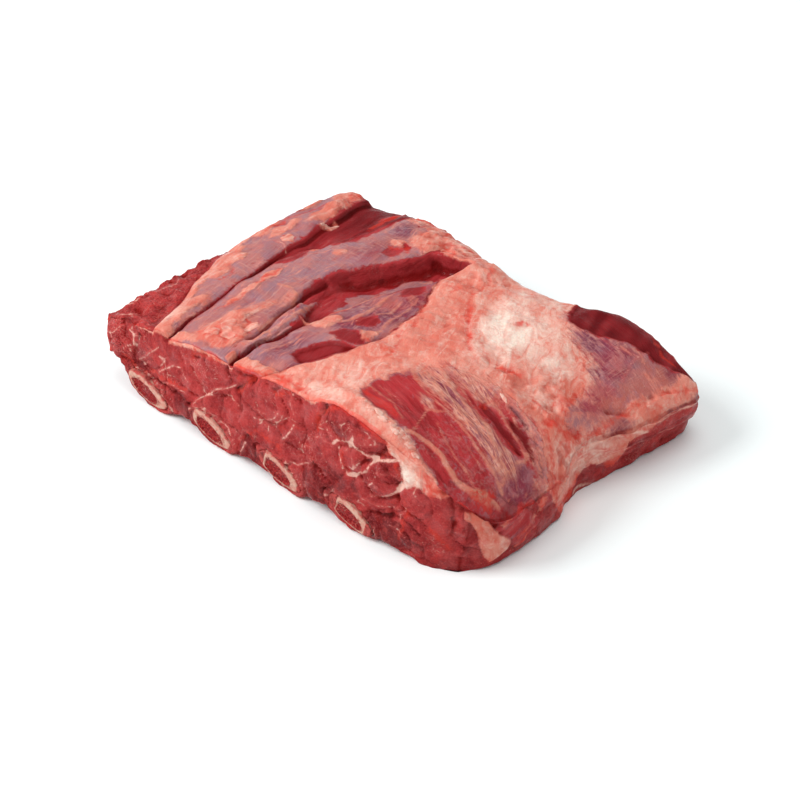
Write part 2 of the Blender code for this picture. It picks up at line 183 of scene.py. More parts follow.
# Strands on the top: points (x, y), half width at its start, middle and end, rise, and how solid it gets
FAT_STRANDS = (
    (((77, -78), (82, -74), (88, -72.5), (94, -72.5), (101, -74.5), (107, -75.5), (112, -74.5), (115, -71),
      (117, -67)), (1.2, 1.5, 1.6), 0.8, 3.0),
    (((80, -60), (90, -65), (98, -67), (106, -68), (113, -70)), (0.4, 0.4, 0.3), 0.2, 0.0),
    (((33, -28), (38, -33), (44, -40), (50, -44), (58, -47), (68, -49), (78, -50), (86, -51), (94, -53),
      (103, -55), (112, -56), (119, -57)), (0.9, 0.5, 0.9), 0.5, 0.4),
    (((112, -31), (115, -36), (114, -41), (116, -46), (115, -50), (118, -56)), (0.7, 0.6, 0.6), 0.4, 0.4),
    (((78, -27), (88, -25.5), (97, -28.5), (106, -31), (114, -34)), (0.5, 0.4, 0.5), 0.3, 0.1),
    (((70, -57), (73, -63), (76, -70), (79, -76)), (0.2, 0.3, 0.7), 0.2, 0.0),
    (((76, -51), (74, -54), (70, -57)), (0.5, 0.8, 0.3), 0.2, -0.1),
    (((60, -51), (65, -54), (70, -58)), (0.2, 0.3, 0.3), 0.2, -0.1),
    (((-26, 26), (-24, 10), (-27, -8), (-29, -24)), (0.4, 1.1, 0.6), 0.3, 0.2),
    (((-20, 14), (-17, 2), (-13, -10), (-15, -24), (-20, -38)), (0.5, 1.2, 0.5), 0.4, 0.3),
    (((-10, 10), (-6, -3), (-9, -12)), (0.4, 0.9, 0.4), 0.3, 0.1),
    (((-2, 8), (0, -8), (3, -20), (-1, -30)), (0.4, 0.9, 0.5), 0.3, 0.2),
    (((-34, 26), (-31, 6), (-33, -12)), (0.4, 0.7, 0.4), 0.3, 0.1),
    (((-24, -44), (-22, -60), (-26, -76)), (0.3, 0.8, 0.4), 0.2, 0.1),
    (((-64, 16), (-66, 2), (-64, -16)), (0.2, 0.4, 0.2), 0.1, -0.1),
    (((38, -28), (46, -34), (56, -40), (70, -43), (86, -46), (100, -50)), (0.3, 0.5, 0.3), 0.3, 0.1),
    (((48, -26), (58, -32), (70, -36), (84, -39), (98, -44), (110, -50)), (0.3, 0.5, 0.4), 0.3, 0.1),
    (((62, -28), (74, -33), (86, -37), (100, -40), (110, -44)), (0.2, 0.4, 0.3), 0.3, 0.1),
    (((44, -38), (54, -44), (66, -46), (80, -48)), (0.2, 0.4, 0.3), 0.2, 0.1),
    (((-70, -21), (-62, -19), (-56, -22), (-51, -29), (-48, -38), (-46, -48), (-45, -58)), (0.6, 0.9, 0.9), 0.5,
      0.1),
    (((-40, -60), (-38, -50), (-39, -40), (-45, -22)), (0.9, 1.2, 0.7), 0.7, 0.2),
    (((115, -73), (118, -69), (122, -63)), (1.6, 1.6, 1.0), 1.0, 0.3),
    (((41, -65.5), (50, -65.5), (58, -67), (64, -70), (70, -73)), (0.5, 0.3, 0.5), 0.2, 0.0),
    (((40, -61), (48, -61.5), (56, -64)), (0.2, 0.3, 0.2), 0.1, -0.2),
    (((84, -55), (96, -58), (110, -60)), (0.2, 0.3, 0.2), 0.1, -0.2),
)
PALE_THREADS = (
    (((-129, -82), (-125, -74), (-128, -64)), 0.5), (((-122, -86), (-117, -82), (-113, -84)), 0.3),
    (((-126, -58), (-121, -50), (-125, -42)), 0.2),
    (((46, -61), (54, -61.5), (60, -64)), 0.0), (((-110, 15), (-105, 16), (-100, 12)), 0.25),
    (((-48, -22), (-46, -32), (-42, -42), (-38, -50)), 0.12), (((-26, 25), (-22, 20), (-26, 8)), 0.05),
    (((-14, -30), (-10, -12), (-14, 2)), 0.0), (((-28, 22), (-26, 6), (-30, -6)), 0.1),
    (((80, 60), (90, 61), (100, 66)), 0.0), (((100, 74), (101, 60), (106, 46)), 0.0),
)
RED_TEARS = (
    (((-82, -20), (-80, -14), (-84, -8)), 1.0), (((-81, -27), (-79, -24)), 1.4),
    (((-77, -58), (-76, -47), (-77, -38)), 0.4),
    (((-84, 62), (-84, 74), (-85, 88)), 1.2),
    (((66, -3), (70, 1), (76, 3)), 0.6), (((104, -9), (109, -3), (113, -2), (116, -8)), 0.9),
    (((105, -10), (108, -5), (106, -1)), 1.2),
    (((91, -3), (98, -5), (104, -4)), 0.5), (((98, 20), (100, 12), (103, 6)), 0.5), (((109, -6), (111, 0)), 0.7),
    (((112, 2), (117, 14), (117, 30), (119, 44)), 0.5), (((121, 60), (125, 74), (126, 84)), 0.5),
    (((113, -9), (115, 0), (117, 8)), 0.4), (((94, 86), (104, 80), (112, 82)), 0.2),
    (((36, -58), (38, -66), (46, -73)), 0.4), (((108, -14), (116, -18), (122, -24)), 0.5),
    (((18, 30), (24, 23), (30, 17), (37, 9), (43, 2), (48, -4)), 0.7), (((8, 44), (13, 36), (18, 30)), 0.5),
    (((82, -23), (82, -30), (81, -34)), 0.4),
    (((-62, -72), (-54, -76), (-46, -70)), 0.5), (((-56, -56), (-50, -60), (-46, -64)), 0.4),
    (((-57, 50), (-52, 57), (-48, 52)), 1.0),
    (((-26, 66), (-30, 70), (-42, 74)), 0.5), (((-46, 66), (-40, 78), (-30, 84)), 0.5),
    (((-112, 22), (-108, 26), (-104, 20)), 0.4), (((-106, -20), (-100, -26), (-98, -34)), 0.3),
    (((-125, 20), (-124, 44), (-120, 70)), 0.5),
    (((10, 44), (6, 58), (-4, 70)), 0.5), (((-34, -88), (-20, -88), (-8, -84), (14, -86)), 1.0),
    (((118, -62), (120, -68), (117, -74)), 1.0), (((12, -14), (20, -24), (26, -38)), 0.3),
    (((0, 16), (8, 2), (14, -8)), 0.5),
)
# Lines of painted shade along walls and grooves, each with its half width; each is also cut in a little
SHADE_LINES = (
    (((90, -19.5), (100, -20.5), (108, -22), (116, -26), (121, -31)), 0.4), (((-54, 8), (-53, 17), (-50, 25)), 1.3),
    (((-44, -54), (-49, -36), (-53, -20)), 0.4), (((-42, -60), (-47, -42), (-51, -28)), 0.3),
)

# Soft patches: (x, y, half width, half length, turn in degrees, strength)
FAT_PATCHES = (
    (-57, -76, 16, 10, 0, 0.95), (-62, -60, 9, 12, 0, 0.8), (-74, -86, 12, 5, 0, 0.9), (-78, -36, 3, 24, 6, 0.9),
    (-82, -14, 4, 8, 5, 1.1), (-60, -40, 6, 14, -8, 0.62), (-50, -70, 5, 16, 0, 1.0), (-90, -66, 7, 20, 12, 1.0),
    (-72, 26, 6, 5, 0, 0.7), (-87, 22, 4, 6, 8, 0.9), (-42, 72, 18, 15, 10, 1.3), (-52, 92, 28, 8, 5, 1.4),
    (-58, 56, 5, 4, 20, 0.8), (-70, 86, 9, 8, 0, 0.8), (-66, 42, 4, 8, 0, 0.45),
    (-32, -85, 8, 5, 0, 1.3), (-16, -84, 16, 4.5, 6, 1.2), (-38, -62, 3, 16, 0, 0.6), (-24, -30, 8, 6, 0, 0.9),
    (-29, -8, 3.4, 16, 0, 0.8), (1, -25, 4, 4, 0, 0.9), (-34, 0, 2.4, 8, 6, 0.8),
    (-18, 2, 3, 9, 10, 0.6), (-22, -26, 5, 4, 0, 0.6),
    (124, 62, 7, 26, 0, 0.95), (118, 40, 4, 10, 0, 0.62), (110, 62, 5, 5, 0, 0.5), (127, 34, 4, 9, 0, 0.7),
    (119, 82, 7, 6, 0, 0.6),
    (-109, -28, 6, 13, 28, 1.1), (-113, -10, 5, 9, 10, 1.0), (-118, 28, 5, 14, 4, 1.0), (-114, 62, 7, 22, 4, 1.1),
    (-86, -88, 7, 6, 0, 0.9), (-120, 84, 12, 14, 0, 1.1),
)
SILVER_PATCHES = (
    (-104, -3, 5, 14, 6, 1.2), (-96, -33, 4, 11, 12, 1.0), (-112, 12, 6, 4, 0, 1.0), (-106, 44, 3, 18, 6, 1.1),
    (-121, 8, 5, 8, 0, 1.0), (-71, -44, 6, 16, -4, 1.0), (-68, 0, 11, 18, 0, 1.1), (-68, 38, 9, 12, 0, 0.9),
    (-86, -66, 2.5, 12, 10, 0.7),
)
FILM_GAPS = (
    (-53, 47, 4.5, 6.5, -15, 1.3), (-52, 57, 4, 3, 0, 0.9), (-64, 84, 5, 8, 0, 0.5), (-31, 34, 3, 6, 12, 0.6),
)
STAIN_PATCHES = (
    (46, 36, 2.5, 4, 0, 1.0), (52, 39, 6, 1.6, 0, 0.7), (62, 30, 4, 1.8, 10, 0.8), (83, 24, 2, 3, 0, 0.7),
    (68, 0, 5, 2, 0, 0.9), (-55, -78, 16, 8, 0, 0.7), (-30, 72, 14, 8, 0, 0.7), (26, 19, 4, 7, 40, 0.8),
    (38, 7, 3, 7, 45, 0.8),
    (110, 2, 3, 5, -20, 0.7), (10, -86, 20, 5, 0, 0.9), (98, 10, 5, 9, 0, 0.6),
    (30, 90, 40, 6, 0, 0.5), (2, 44, 8, 16, 0, 0.5), (-116, 84, 10, 16, 0, 0.9),
    (-70, 92, 16, 6, 0, 0.9), (42, -68, 4, 8, 0, 0.6), (-104, -40, 4, 20, 8, 0.4), (-82, -21, 4, 8, 5, 0.8),
    (6, -30, 5, 6, 0, 0.5), (124, 62, 8, 18, 0, 0.5), (117, -70, 6, 8, 0, 1.3), (126, -22, 5, 14, 0, 0.5),
    (106, -8, 3, 5, 0, 1.2), (113, -16, 7, 3, 0, 0.6), (-44, 84, 14, 8, 0, 0.7), (-52, 57, 5, 3, 0, 1.0),
)
CREAM_PATCHES = (
    (39, 27, 5, 12, 24, 0.7), (50, 20, 8, 9, 0, 0.75), (46, 24, 19, 26, 30, 0.55), (34, 40, 6, 8, 0, 0.3),
    (66, 36, 26, 22, 0, 0.42), (80, 20, 14, 12, 0, 0.3), (34, 58, 24, 22, 0, 0.5),
    (16, -66, 10, 10, 0, 0.2), (96, 4, 8, 8, 0, 0.4), (120, 6, 7, 9, 0, 0.45), (118, -8, 6, 7, 0, 0.4),
    (70, -8, 18, 6, 0, 0.25), (66, -82, 26, 4, 5, 0.3), (124, 2, 5, 12, 0, 0.7),
    (60, 4, 16, 10, 0, 0.3), (-36, 84, 20, 10, 0, 0.3), (80, -79, 8, 3, 0, 0.35), (28, -60, 10, 20, 30, 0.3),
    (-94, -74, 6, 12, 0, 0.4), (22, -82, 12, 6, 0, 0.5),
)
VIOLET_PATCHES = (
    (-66, 68, 6, 11, 25, 1.5), (-56, -2, 4, 22, 4, 1.1), (-20, -62, 9, 18, 0, 1.0), (-62, 40, 9, 16, -10, 0.8),
    (-20, -14, 10, 20, 8, 0.9), (-5, 8, 7, 22, 5, 1.5), (-8, -28, 12, 9, 0, 1.1), (-6, -12, 8, 8, 0, 1.0),
    (0, -4, 4, 20, 0, 0.7), (-24, 24, 8, 14, 8, 1.0), (80, 56, 14, 8, 4, 1.5), (96, 45, 9, 15, -30, 1.5),
    (106, 24, 7, 17, -10, 1.3), (115, 75, 6, 6, 0, 1.2), (94, 63, 9, 6, 0, 1.0), (120, 26, 4, 10, 0, 1.2),
    (120, -48, 8, 12, 0, 1.4), (66, -22, 10, 6, -14, 0.9), (60, -36, 18, 7, -14, 0.9), (96, -44, 16, 5, -12, 0.7),
    (-107, 52, 3, 18, 4, 0.8), (-71, -44, 5, 14, 0, 0.5), (42, -48, 7, 7, 0, 1.0), (-47, -40, 4, 12, -15, 1.2),
    (-2, -72, 7, 6, 0, 1.1),
    (-3, -36, 10, 6, 0, 0.7), (66, -54, 6, 3, 0, 0.4),
)
# Where the window's front rim has no film
BARE_PATCHES = ((54, -72, 14, 5, -4, 1.2), (98, -80, 12, 4, -4, 1.2))
# Where the window is crossed by strings of tissue
STRING_PATCHES = (
    (56, -36, 18, 8, -14, 1.1), (90, -44, 22, 6, -10, 1.3), (110, -47, 8, 8, -10, 1.0), (44, -34, 9, 6, -30, 0.9),
    (72, -24, 16, 6, -10, 0.8), (98, -33, 14, 2, -10, 0.3), (67, -53, 8, 3, -10, 0.6), (60, -18, 14, 5, -10, 0.7),
)
# Where film over the meat is brown with thin fat
TAN_PATCHES = (
    (118, 58, 13, 36, 0, 1.1), (112, 26, 8, 16, 0, 0.9), (100, 66, 14, 5, 10, 0.8), (100, 50, 4, 9, 0, 0.5),
    (66, -24, 18, 8, -10, 0.6),
    (-62, -68, 14, 18, 0, 0.7), (-79, -30, 5, 30, 6, 0.6), (-53, -44, 6, 18, 0, 0.7), (-64, 52, 9, 10, 0, 0.8),
    (-26, -26, 8, 14, 0, 0.6), (-31, 10, 5, 26, 0, 0.7), (-16, 2, 5, 14, 0, 0.6), (-44, -66, 5, 16, 0, 0.8),
    (-108, 4, 6, 14, 6, 0.4),
)
# Edges of folded sheets in the fat (points), with how far each stands up
FAT_FOLDS = (
    (((99, -12), (105, -5), (110, -1), (116, -4), (121, -12)), 0.9),
    (((109, 6), (110, -2), (106, -6), (107, -12)), 1.0),
    (((88, -7), (96, -5), (103, -8), (108, -14)), 0.7), (((113, 14), (118, 9), (124, 2), (128, -6)), 0.8),
    (((114, 24), (121, 19), (126, 12)), 0.7),
    (((60, -2), (66, 2), (74, 4), (82, 1)), 0.7), (((72, -12), (82, -13), (92, -15), (104, -14)), 0.6),
    (((110, -20), (118, -14), (125, -14)), 0.7),
    (((44, 34), (50, 39), (58, 38)), 0.4), (((84, 28), (88, 18), (94, 12)), 0.4),
    (((26, 40), (36, 36), (46, 26), (52, 12)), 0.4),
    (((-26, 56), (-18, 60), (-12, 54), (-13, 44)), 0.9), (((-24, 50), (-18, 53), (-16, 46)), 0.6),
    (((-62, 88), (-48, 82), (-34, 80), (-22, 74)), 0.7),
    (((-2, 84), (8, 72), (18, 66)), 0.5), (((8, 34), (4, 46), (-6, 54)), 0.6),
    (((20, -30), (26, -44), (36, -56), (40, -66)), 0.4),
    (((6, -40), (12, -52), (20, -66), (34, -74)), 0.4), (((16, 14), (12, 0), (14, -16)), 0.4),
    (((92, 84), (100, 76), (110, 72)), 0.4),
)
FILM_THIN = (
    (-14, 18, 14, 24, 6, 1.2), (-56, 36, 8, 18, -10, 0.6), (104, 28, 8, 20, 0, 0.8), (94, 52, 10, 10, 0, 0.8),
    (60, -58, 18, 8, -10, 0.6),
)
# Where lean or cut meat is bright red; the two patches on the valley's ridge are a painted highlight along it
BRIGHT_RED_AND_HIGHLIGHT_PATCHES = (
    (56, -72.5, 15, 4.2, -8, 1.5), (-87, 82, 3, 16, -3, 1.2), (-82, 58, 2.5, 8, 0, 0.7), (104, -36, 8, 2, -10, 0.8),
    (-47, 52, 3, 6, 0, 0.7),
)
FOLD_PATCHES = (
    (106, -2, 20, 14, -10, 1.2), (90, 8, 14, 10, 0, 0.6), (16, 6, 18, 18, 0, 0.5), (66, 0, 14, 8, 0, 0.7),
    (-45, 80, 32, 14, 0, 1.0), (-2, 56, 16, 20, 0, 0.5), (-56, -66, 14, 14, 0, 0.6), (-114, 60, 12, 30, 0, 0.5),
    (2, -80, 20, 8, 0, 0.6), (122, 70, 8, 14, 0, 0.8), (120, 0, 10, 14, 0, 1.0), (120, -22, 8, 12, 0, 0.8),
)

# Threads of fat and seams on the cut front (x, z), with how thick each is
FRONT_THREADS = (
    (((41, 44), (42, 46.5), (44, 48.5), (48, 50), (51, 51)), 1.4), (((42.5, 46), (44.5, 48.6)), 3.0),
    (((45, 45), (46.5, 41), (47.5, 37), (48.5, 33.5), (53, 32)), 1.5),
    (((36.5, 52), (37.5, 49.5), (40, 48.5)), 0.9), (((63, 55), (67, 58), (71, 59.6)), 0.5),
    (((28, 42), (33, 45), (38, 44)), 0.2), (((72, 44), (78, 46), (82, 45)), 0.1),
    (((51, 51.5), (53, 50.5), (57, 49.6), (60, 49), (63, 49), (66, 49), (69, 49.3)), 1.9),
    (((53, 50.5), (54, 53), (55.5, 56.5)), 1.7),
    (((53, 50.5), (52, 48.5), (50.5, 46)), 0.8), (((66.5, 48.6), (70, 49.8)), 3.2),
    (((69, 49.5), (73, 50.8), (78, 53), (82, 55)), 2.6),
    (((68, 49), (66, 45), (64.5, 41.5)), 1.9), (((64, 41), (61, 39), (58, 36), (56, 33.8), (54, 32)), 1.4),
    (((56.5, 34), (53, 32), (50.5, 31.5)), 2.4),
    (((54, 32), (57, 32.3), (61, 32)), 0.9), (((65, 32), (69, 37)), 0.8), (((61, 39), (66, 41)), 0.3),
    (((85, 42), (84, 40), (81.5, 36.5), (79, 33.5), (76.5, 31.5)), 2.2), (((77, 32), (72, 29), (66, 26.5)), 0.8),
    (((93, 44), (93, 41)), 1.6), (((98, 38), (99, 32)), 0.6), (((99, 44), (101, 40)), 1.0),
    (((88, 30), (84, 24), (82, 16)), 0.4),
    (((-109, 41), (-106.5, 37), (-107, 31), (-109, 24)), 1.4), (((-110, 38), (-105, 36.5)), 1.2),
    (((-107, 31), (-112, 28), (-113, 21)), 0.7),
    (((-103, 23), (-97, 28), (-92, 33), (-86, 39)), 1.0),
    (((-86, 24), (-80, 29), (-75, 33), (-69, 34.5), (-66, 29)), 0.9),
    (((-60, 17), (-54, 24), (-47, 29), (-44, 34), (-36, 38), (-28, 44)), 1.1), (((-49, 28), (-45, 30)), 2.0),
    (((-112, 14), (-104, 18), (-94, 17.5), (-86, 15), (-80, 8)), 0.5), (((-84, 18), (-76, 21), (-66, 21)), 0.5),
    (((-62, 14), (-54, 18), (-44, 17), (-34, 16), (-28, 8)), 0.5),
    (((4, 28), (8, 31.5), (11, 36), (13.5, 41)), 1.4), (((-5, 35), (0, 39), (3, 43)), 0.7),
    (((0, 36), (4, 39), (6, 43)), 0.6), (((8, 17), (16, 19), (24, 24)), 0.9),
    (((-10, 10), (-6, 15), (3, 17), (12, 15), (20, 9)), 0.5),
    (((38, 13), (44, 17), (54, 16), (61, 12)), 0.4), (((-14, 37), (-6, 38)), 0.2),
    (((14, 47), (11, 52), (12, 57)), 0.4),
    (((60, 22), (70, 22.5), (82, 26)), 0.4), (((-70, 44), (-66, 38)), 0.2), (((60, 55), (64, 58), (67, 62)), 0.1),
    (((-126, 30), (-120, 33), (-116, 38)), 0.6),
)
# Where threads meet on the cut front (x, z)
FRONT_KNOTS = (
    ((50, 50.6), (53.2, 52.6), (54.6, 55.4), (56.4, 59), (55.8, 53), (57.8, 50), (54, 49), (52, 49)),
    ((66, 50.2), (69.5, 51), (71, 50), (69, 47.4), (67, 46.4), (66.8, 48.4)),
    ((83, 43), (86.5, 41.5), (84.5, 38.2), (82, 36), (81.6, 38)),
    ((52.6, 33), (55.6, 35), (58, 35.2), (56.4, 32.6), (53.8, 31.2)),
)
# Fat on the cut front (x, z), and how thick its band is along the top edge
FRONT_FAT = (
    (73, 66), (74.5, 61), (76, 56), (80, 54.4), (83, 52.5), (84.5, 48), (83.5, 42.5), (81.5, 38.5), (83.5, 37.5),
    (87, 41), (91.5, 43.8), (98, 43), (104, 42.5),
    (110, 44), (118, 50), (110, 60), (90, 66),
)
FRONT_FAT_2 = ((21, 57), (23, 60), (26, 59), (29, 62), (33, 65), (33, 70), (22, 70))
BAND_STATIONS = (-132.0, -112.0, -98.0, -70.0, -42.0, -30.0, -24.0, -10.0, 8.0, 20.0, 27.0, 34.0, 44.0, 132.0)
BAND_DEPTHS = (0.0, 0.3, 2.2, 3.2, 3.0, 1.4, -0.8, -1.0, -0.6, 0.2, 2.6, 0.0, -1.0, -1.0)
FRONT_TEARS = (
    (((60, 67), (68, 65), (75, 61), (77, 56), (72, 53)), 0.7), (((30, 47), (31, 56), (36, 62), (44, 67)), 0.9),
    (((80, 53), (84, 47), (83, 41)), 0.6), (((-60, 47), (-48, 50), (-38, 55), (-30, 56)), 0.7),
    (((-27, 40), (-22, 46), (-14, 58)), 0.6),
    (((48, 44), (47, 38), (52, 34)), 0.3), (((-92, 22), (-80, 21), (-66, 23)), 0.4),
    (((88, 28), (86, 20), (84, 10)), 0.6),
    (((-128, 38), (-129, 28), (-124, 18)), 1.2), (((-112, 22), (-104, 16), (-96, 17)), 0.6),
    (((-20, 20), (-10, 25), (4, 22)), 0.4),
    (((-58, 50), (-64, 40)), 0.3), (((0, 52), (10, 58)), 0.5), (((102, 24), (110, 14)), 0.8),
)
# Seams between the muscles of the cut front (x, z), with how deep each is: cut in, and darkened in tone as painted
# shade
FRONT_SEAMS = (
    (((-28, 41), (-22, 47), (-13, 56)), 1.6), (((-26, 40), (-25, 26)), 0.9), (((-36, 51), (-34, 43)), 0.9),
    (((-105, 47), (-103, 38), (-106, 27)), 0.8), (((-104, 15), (-90, 17), (-70, 17), (-60, 16)), 1.0),
    (((36, 66), (33, 58), (30, 50)), 1.1), (((27, 26), (34, 18), (46, 12)), 1.0),
    (((62, 14), (74, 19), (86, 22), (96, 18)), 1.0), (((80, 56), (72, 49), (66, 51)), 0.6),
    (((112, 34), (113, 20), (122, 12)), 0.9), (((84, 34), (78, 24), (70, 20)), 0.7),
    (((-52, 47), (-47, 39)), 0.6), (((5, 52), (10, 44)), 0.6), (((-88, 20), (-86, 10)), 0.6),
)
# Bulging muscles on the cut front: (x, z, half width, half height, rise, tone)
FRONT_LOBES = (
    (56, 60, 18, 9.5, 1.3, -0.2), (77, 47, 7.5, 6.5, 1.2, -0.1), (71, 38, 11, 9, 1.4, 0.05),
    (46, 56, 8, 6, 0.6, -0.2),
    (55, 42, 9, 7, 0.9, -0.3), (92, 35, 10, 8, 1.2, 0.1), (30, 14, 10, 10, 0.9, -1.1), (38, 36, 11, 12, 0.6, -0.35),
    (75, 10, 15, 8, 0.9, -1.25), (-67, 13, 9, 7, 0.5, -0.7), (-18, 9, 8, 6, 0.3, -0.8), (92, 16, 8, 10, 0.8, -0.35),
    (104, 26, 9, 11, 0.8, 0.2), (48, 25, 10, 7, 0.3, -0.4), (-120, 34, 6, 8, 1.0, 0.5), (-112, 28, 4, 5, 0.8, 0.2),
    (-118, 24, 5, 5, 0.8, 0.3), (-84, 36, 16, 9, 0.5, 0.3),
    (-46, 40, 13, 10, 0.5, 0.2), (-8, 44, 16, 10, 0.7, 0.1), (-12, 26, 14, 8, 0.5, 0.1), (10, 50, 10, 9, 0.5, 0.1),
)

# The front right corner, read square on along its diagonal: (along, up)
CORNER_WEDGE = (
    (26, 38), (31, 37.5), (36, 33.5), (40, 28), (43.5, 22.5), (46.5, 17), (49, 11), (48, 7.5), (43, 5.5), (38.5, 4),
    (36, 8), (34, 14.5), (32.5, 21), (30.5, 27), (28.5, 31.5), (25, 35.5),
)
CORNER_ROLL = (
    (17, 50), (25, 48), (38, 42), (46, 34), (55, 29), (60, 23), (64, 13), (62, 4), (52, 4),
    (47, 11), (41, 24), (36, 29), (29, 36), (19, 43),
)
CORNER_CREVICE = ((15, 47), (22, 45), (30, 39.5), (36, 33.5), (42, 27))
CORNER_RIDGE = ((25, 34), (27, 25), (25, 12))
CORNER_SEAM = ((19, 42), (21, 32), (19, 22))
CORNER_FLAKE = ((61, 18), (62, 24), (64, 27), (66, 25), (65, 20), (63, 17))
# Where the fat of the top hangs down the right side: along the diagonal, and its lower border
HANG_STATIONS = (
    30.0, 60.0, 63.0, 66.0, 70.0, 73.0, 76.0, 81.0, 84.0, 88.0, 93.0, 97.0, 100.0, 105.0, 108.0, 111.0, 118.0,
    124.0, 135.0, 150.0, 170.0,
)
HANG_LOW = (
    60.0, 50.0, 40.0, 30.0, 19.0, 9.0, 1.0, 1.0, 11.0, 15.0, 14.0, 12.0, 7.0, 7.0, 15.0, 22.0, 24.0, 26.0, 28.0,
    28.0, 36.0,
)
STRIP_COLUMNS = (24, 22, 26, 38, 28, 132)


# ------------------------------------------------------------ plain formulas
def ease(t):
    """Smooth step from 0 to 1 while t goes from 0 to 1."""
    t = np.clip(t, 0.0, 1.0)
    return t * t * (3.0 - 2.0 * t)


def hump(t):
    """Smooth hump: 1 at t = 0, 0 where t is -1 or 1 and beyond."""
    return ease(1.0 - np.abs(t))


def line(stations, values, at):
    """Smooth line through the values at the stations (cubic pieces)."""
    s = np.asarray(stations, float)
    v = np.asarray(values, float)
    slope = np.gradient(v, s)
    i = np.clip(np.searchsorted(s, at) - 1, 0, len(s) - 2)
    h = s[i + 1] - s[i]
    q = np.clip((at - s[i]) / h, 0.0, 1.0)
    start = (1.0 + 2.0 * q) * (1.0 - q) ** 2 * v[i] + q * (1.0 - q) ** 2 * h * slope[i]
    end = q * q * (3.0 - 2.0 * q) * v[i + 1] + q * q * (q - 1.0) * h * slope[i + 1]
    return start + end


def spline_weights(t):
    """Weights of four neighbours on a smooth line, t from 0 to 1 between the middle two."""
    return (
        -0.5 * t + t * t - 0.5 * t ** 3,
        1.0 - 2.5 * t * t + 1.5 * t ** 3,
        0.5 * t + 2.0 * t * t - 1.5 * t ** 3,
        -0.5 * t * t + 0.5 * t ** 3,
    )


def swell(x, y, z, length, seed):
    """Gentle lumps about one length across: eight plane waves in set directions."""
    source = np.random.default_rng(seed)
    total = np.zeros_like(x)
    for _ in range(8):
        way = source.normal(size=3)
        way *= 2.0 * math.pi / (length * source.uniform(0.8, 1.5) * np.linalg.norm(way))
        total += np.sin(way[0] * x + way[1] * y + way[2] * z + source.uniform(0.0, 6.28))
    return total / 4.0


def cells(x, y, size, seed):
    """Distances, in cell sizes, to the nearest and next nearest of points strewn one to a square."""
    i = np.floor(x / size)
    j = np.floor(y / size)
    first = np.full_like(x, FAR)
    second = np.full_like(x, FAR)
    for di in (-1, 0, 1):
        for dj in (-1, 0, 1):
            a = np.sin((i + di) * 127.1 + (j + dj) * 311.7 + seed * 17.3) * 43758.5453
            b = np.sin((i + di) * 269.5 + (j + dj) * 183.3 + seed * 29.9) * 43758.5453
            px = i + di + (a - np.floor(a))
            py = j + dj + (b - np.floor(b))
            away = np.hypot(x / size - px, y / size - py)
            second = np.minimum(second, np.maximum(first, away))
            first = np.minimum(first, away)
    return first, second


def off_line(x, y, points):
    """Distance to the nearest point of a bent line."""
    p = np.asarray(points, float)
    best = np.full_like(x, 1e3)
    for (ax, ay), (bx, by) in zip(p[:-1], p[1:]):
        dx, dy = bx - ax, by - ay
        t = np.clip(((x - ax) * dx + (y - ay) * dy) / (dx * dx + dy * dy), 0.0, 1.0)
        best = np.minimum(best, np.hypot(x - ax - t * dx, y - ay - t * dy))
    return best


def inside(x, y, edge):
    """Signed distance to a closed outline: positive inside it."""
    ring = np.asarray(tuple(edge) + (edge[0],), float)
    within = np.zeros(x.shape, bool)
    for (ax, ay), (bx, by) in zip(ring[:-1], ring[1:]):
        crosses = (ay > y) != (by > y)
        with np.errstate(divide="ignore", invalid="ignore"):
            at = ax + (y - ay) * (bx - ax) / (by - ay if by != ay else 1e-9)
        within ^= crosses & (x < at)
    return np.where(within, 1.0, -1.0) * off_line(x, y, ring)


def patches(x, y, table):
    """Sum of soft turned ovals, each fading from its strength at the middle to 0 outside."""
    total = np.zeros_like(x)
    for cx, cy, rx, ry, turn, strength in table:
        c, s = math.cos(math.radians(turn)), math.sin(math.radians(turn))
        u = ((x - cx) * c + (y - cy) * s) / rx
        v = (-(x - cx) * s + (y - cy) * c) / ry
        total += strength * np.exp(-1.2 * (u * u + v * v) ** 1.5)
    return total


def line_marks(x, y, table):
    """Distance to the nearest of several bent lines, less each line's own half width."""
    best = np.full_like(x, FAR)
    for points, half in table:
        best = np.minimum(best, off_line(x, y, points) - half)
    return best


def along_line(x, y, points):
    """Distance to a bent line, the same with a sign (positive on its left), and the place from 0 to 1 along it."""
    p = np.asarray(points, float)
    steps = np.concatenate([[0.0], np.cumsum(np.hypot(*np.diff(p, axis=0).T))])
    best = np.full_like(x, 99.0)
    signed = np.full_like(x, 99.0)
    place = np.zeros_like(x)
    for k in range(len(p) - 1):
        d = p[k + 1] - p[k]
        rx, ry = x - p[k, 0], y - p[k, 1]
        t = np.clip((rx * d[0] + ry * d[1]) / (d @ d), 0.0, 1.0)
        away = np.hypot(rx - t * d[0], ry - t * d[1])
        closer = away < best
        best = np.where(closer, away, best)
        signed = np.where(closer, np.sign(d[0] * ry - d[1] * rx) * away, signed)
        place = np.where(closer, (steps[k] + t * (steps[k + 1] - steps[k])) / steps[-1], place)
    return best, signed, place


def strands(x, y):
    """Signed distance to the strands of fat (positive on them) and the height that they add."""
    near = np.full_like(x, -FAR)
    rise = np.zeros_like(x)
    for points, halves, lift, most in FAT_STRANDS:
        best, _, place = along_line(x, y, points)
        half = np.interp(place, (0.0, 0.5, 1.0), halves)
        near = np.maximum(near, np.minimum(half - best, most))
        rise = np.maximum(rise, lift * hump(best / (half + 1.1)))
    return near, rise


def sheet_edges(x, y):
    """Height of folded sheets: up sharply on one side of each bent line, falling off slowly behind it."""
    rise = np.zeros_like(x)
    for points, lift in FAT_FOLDS:
        _, signed, place = along_line(x, y, points)
        fade = hump((place - 0.5) / 0.56)
        behind = np.exp(-(np.maximum(signed, 0.0) / 5.0) ** 2) * ease(signed / 1.2 + 0.5)
        rise += lift * fade * (behind - 0.5 * hump((signed + 0.7) / 1.3))
    return rise


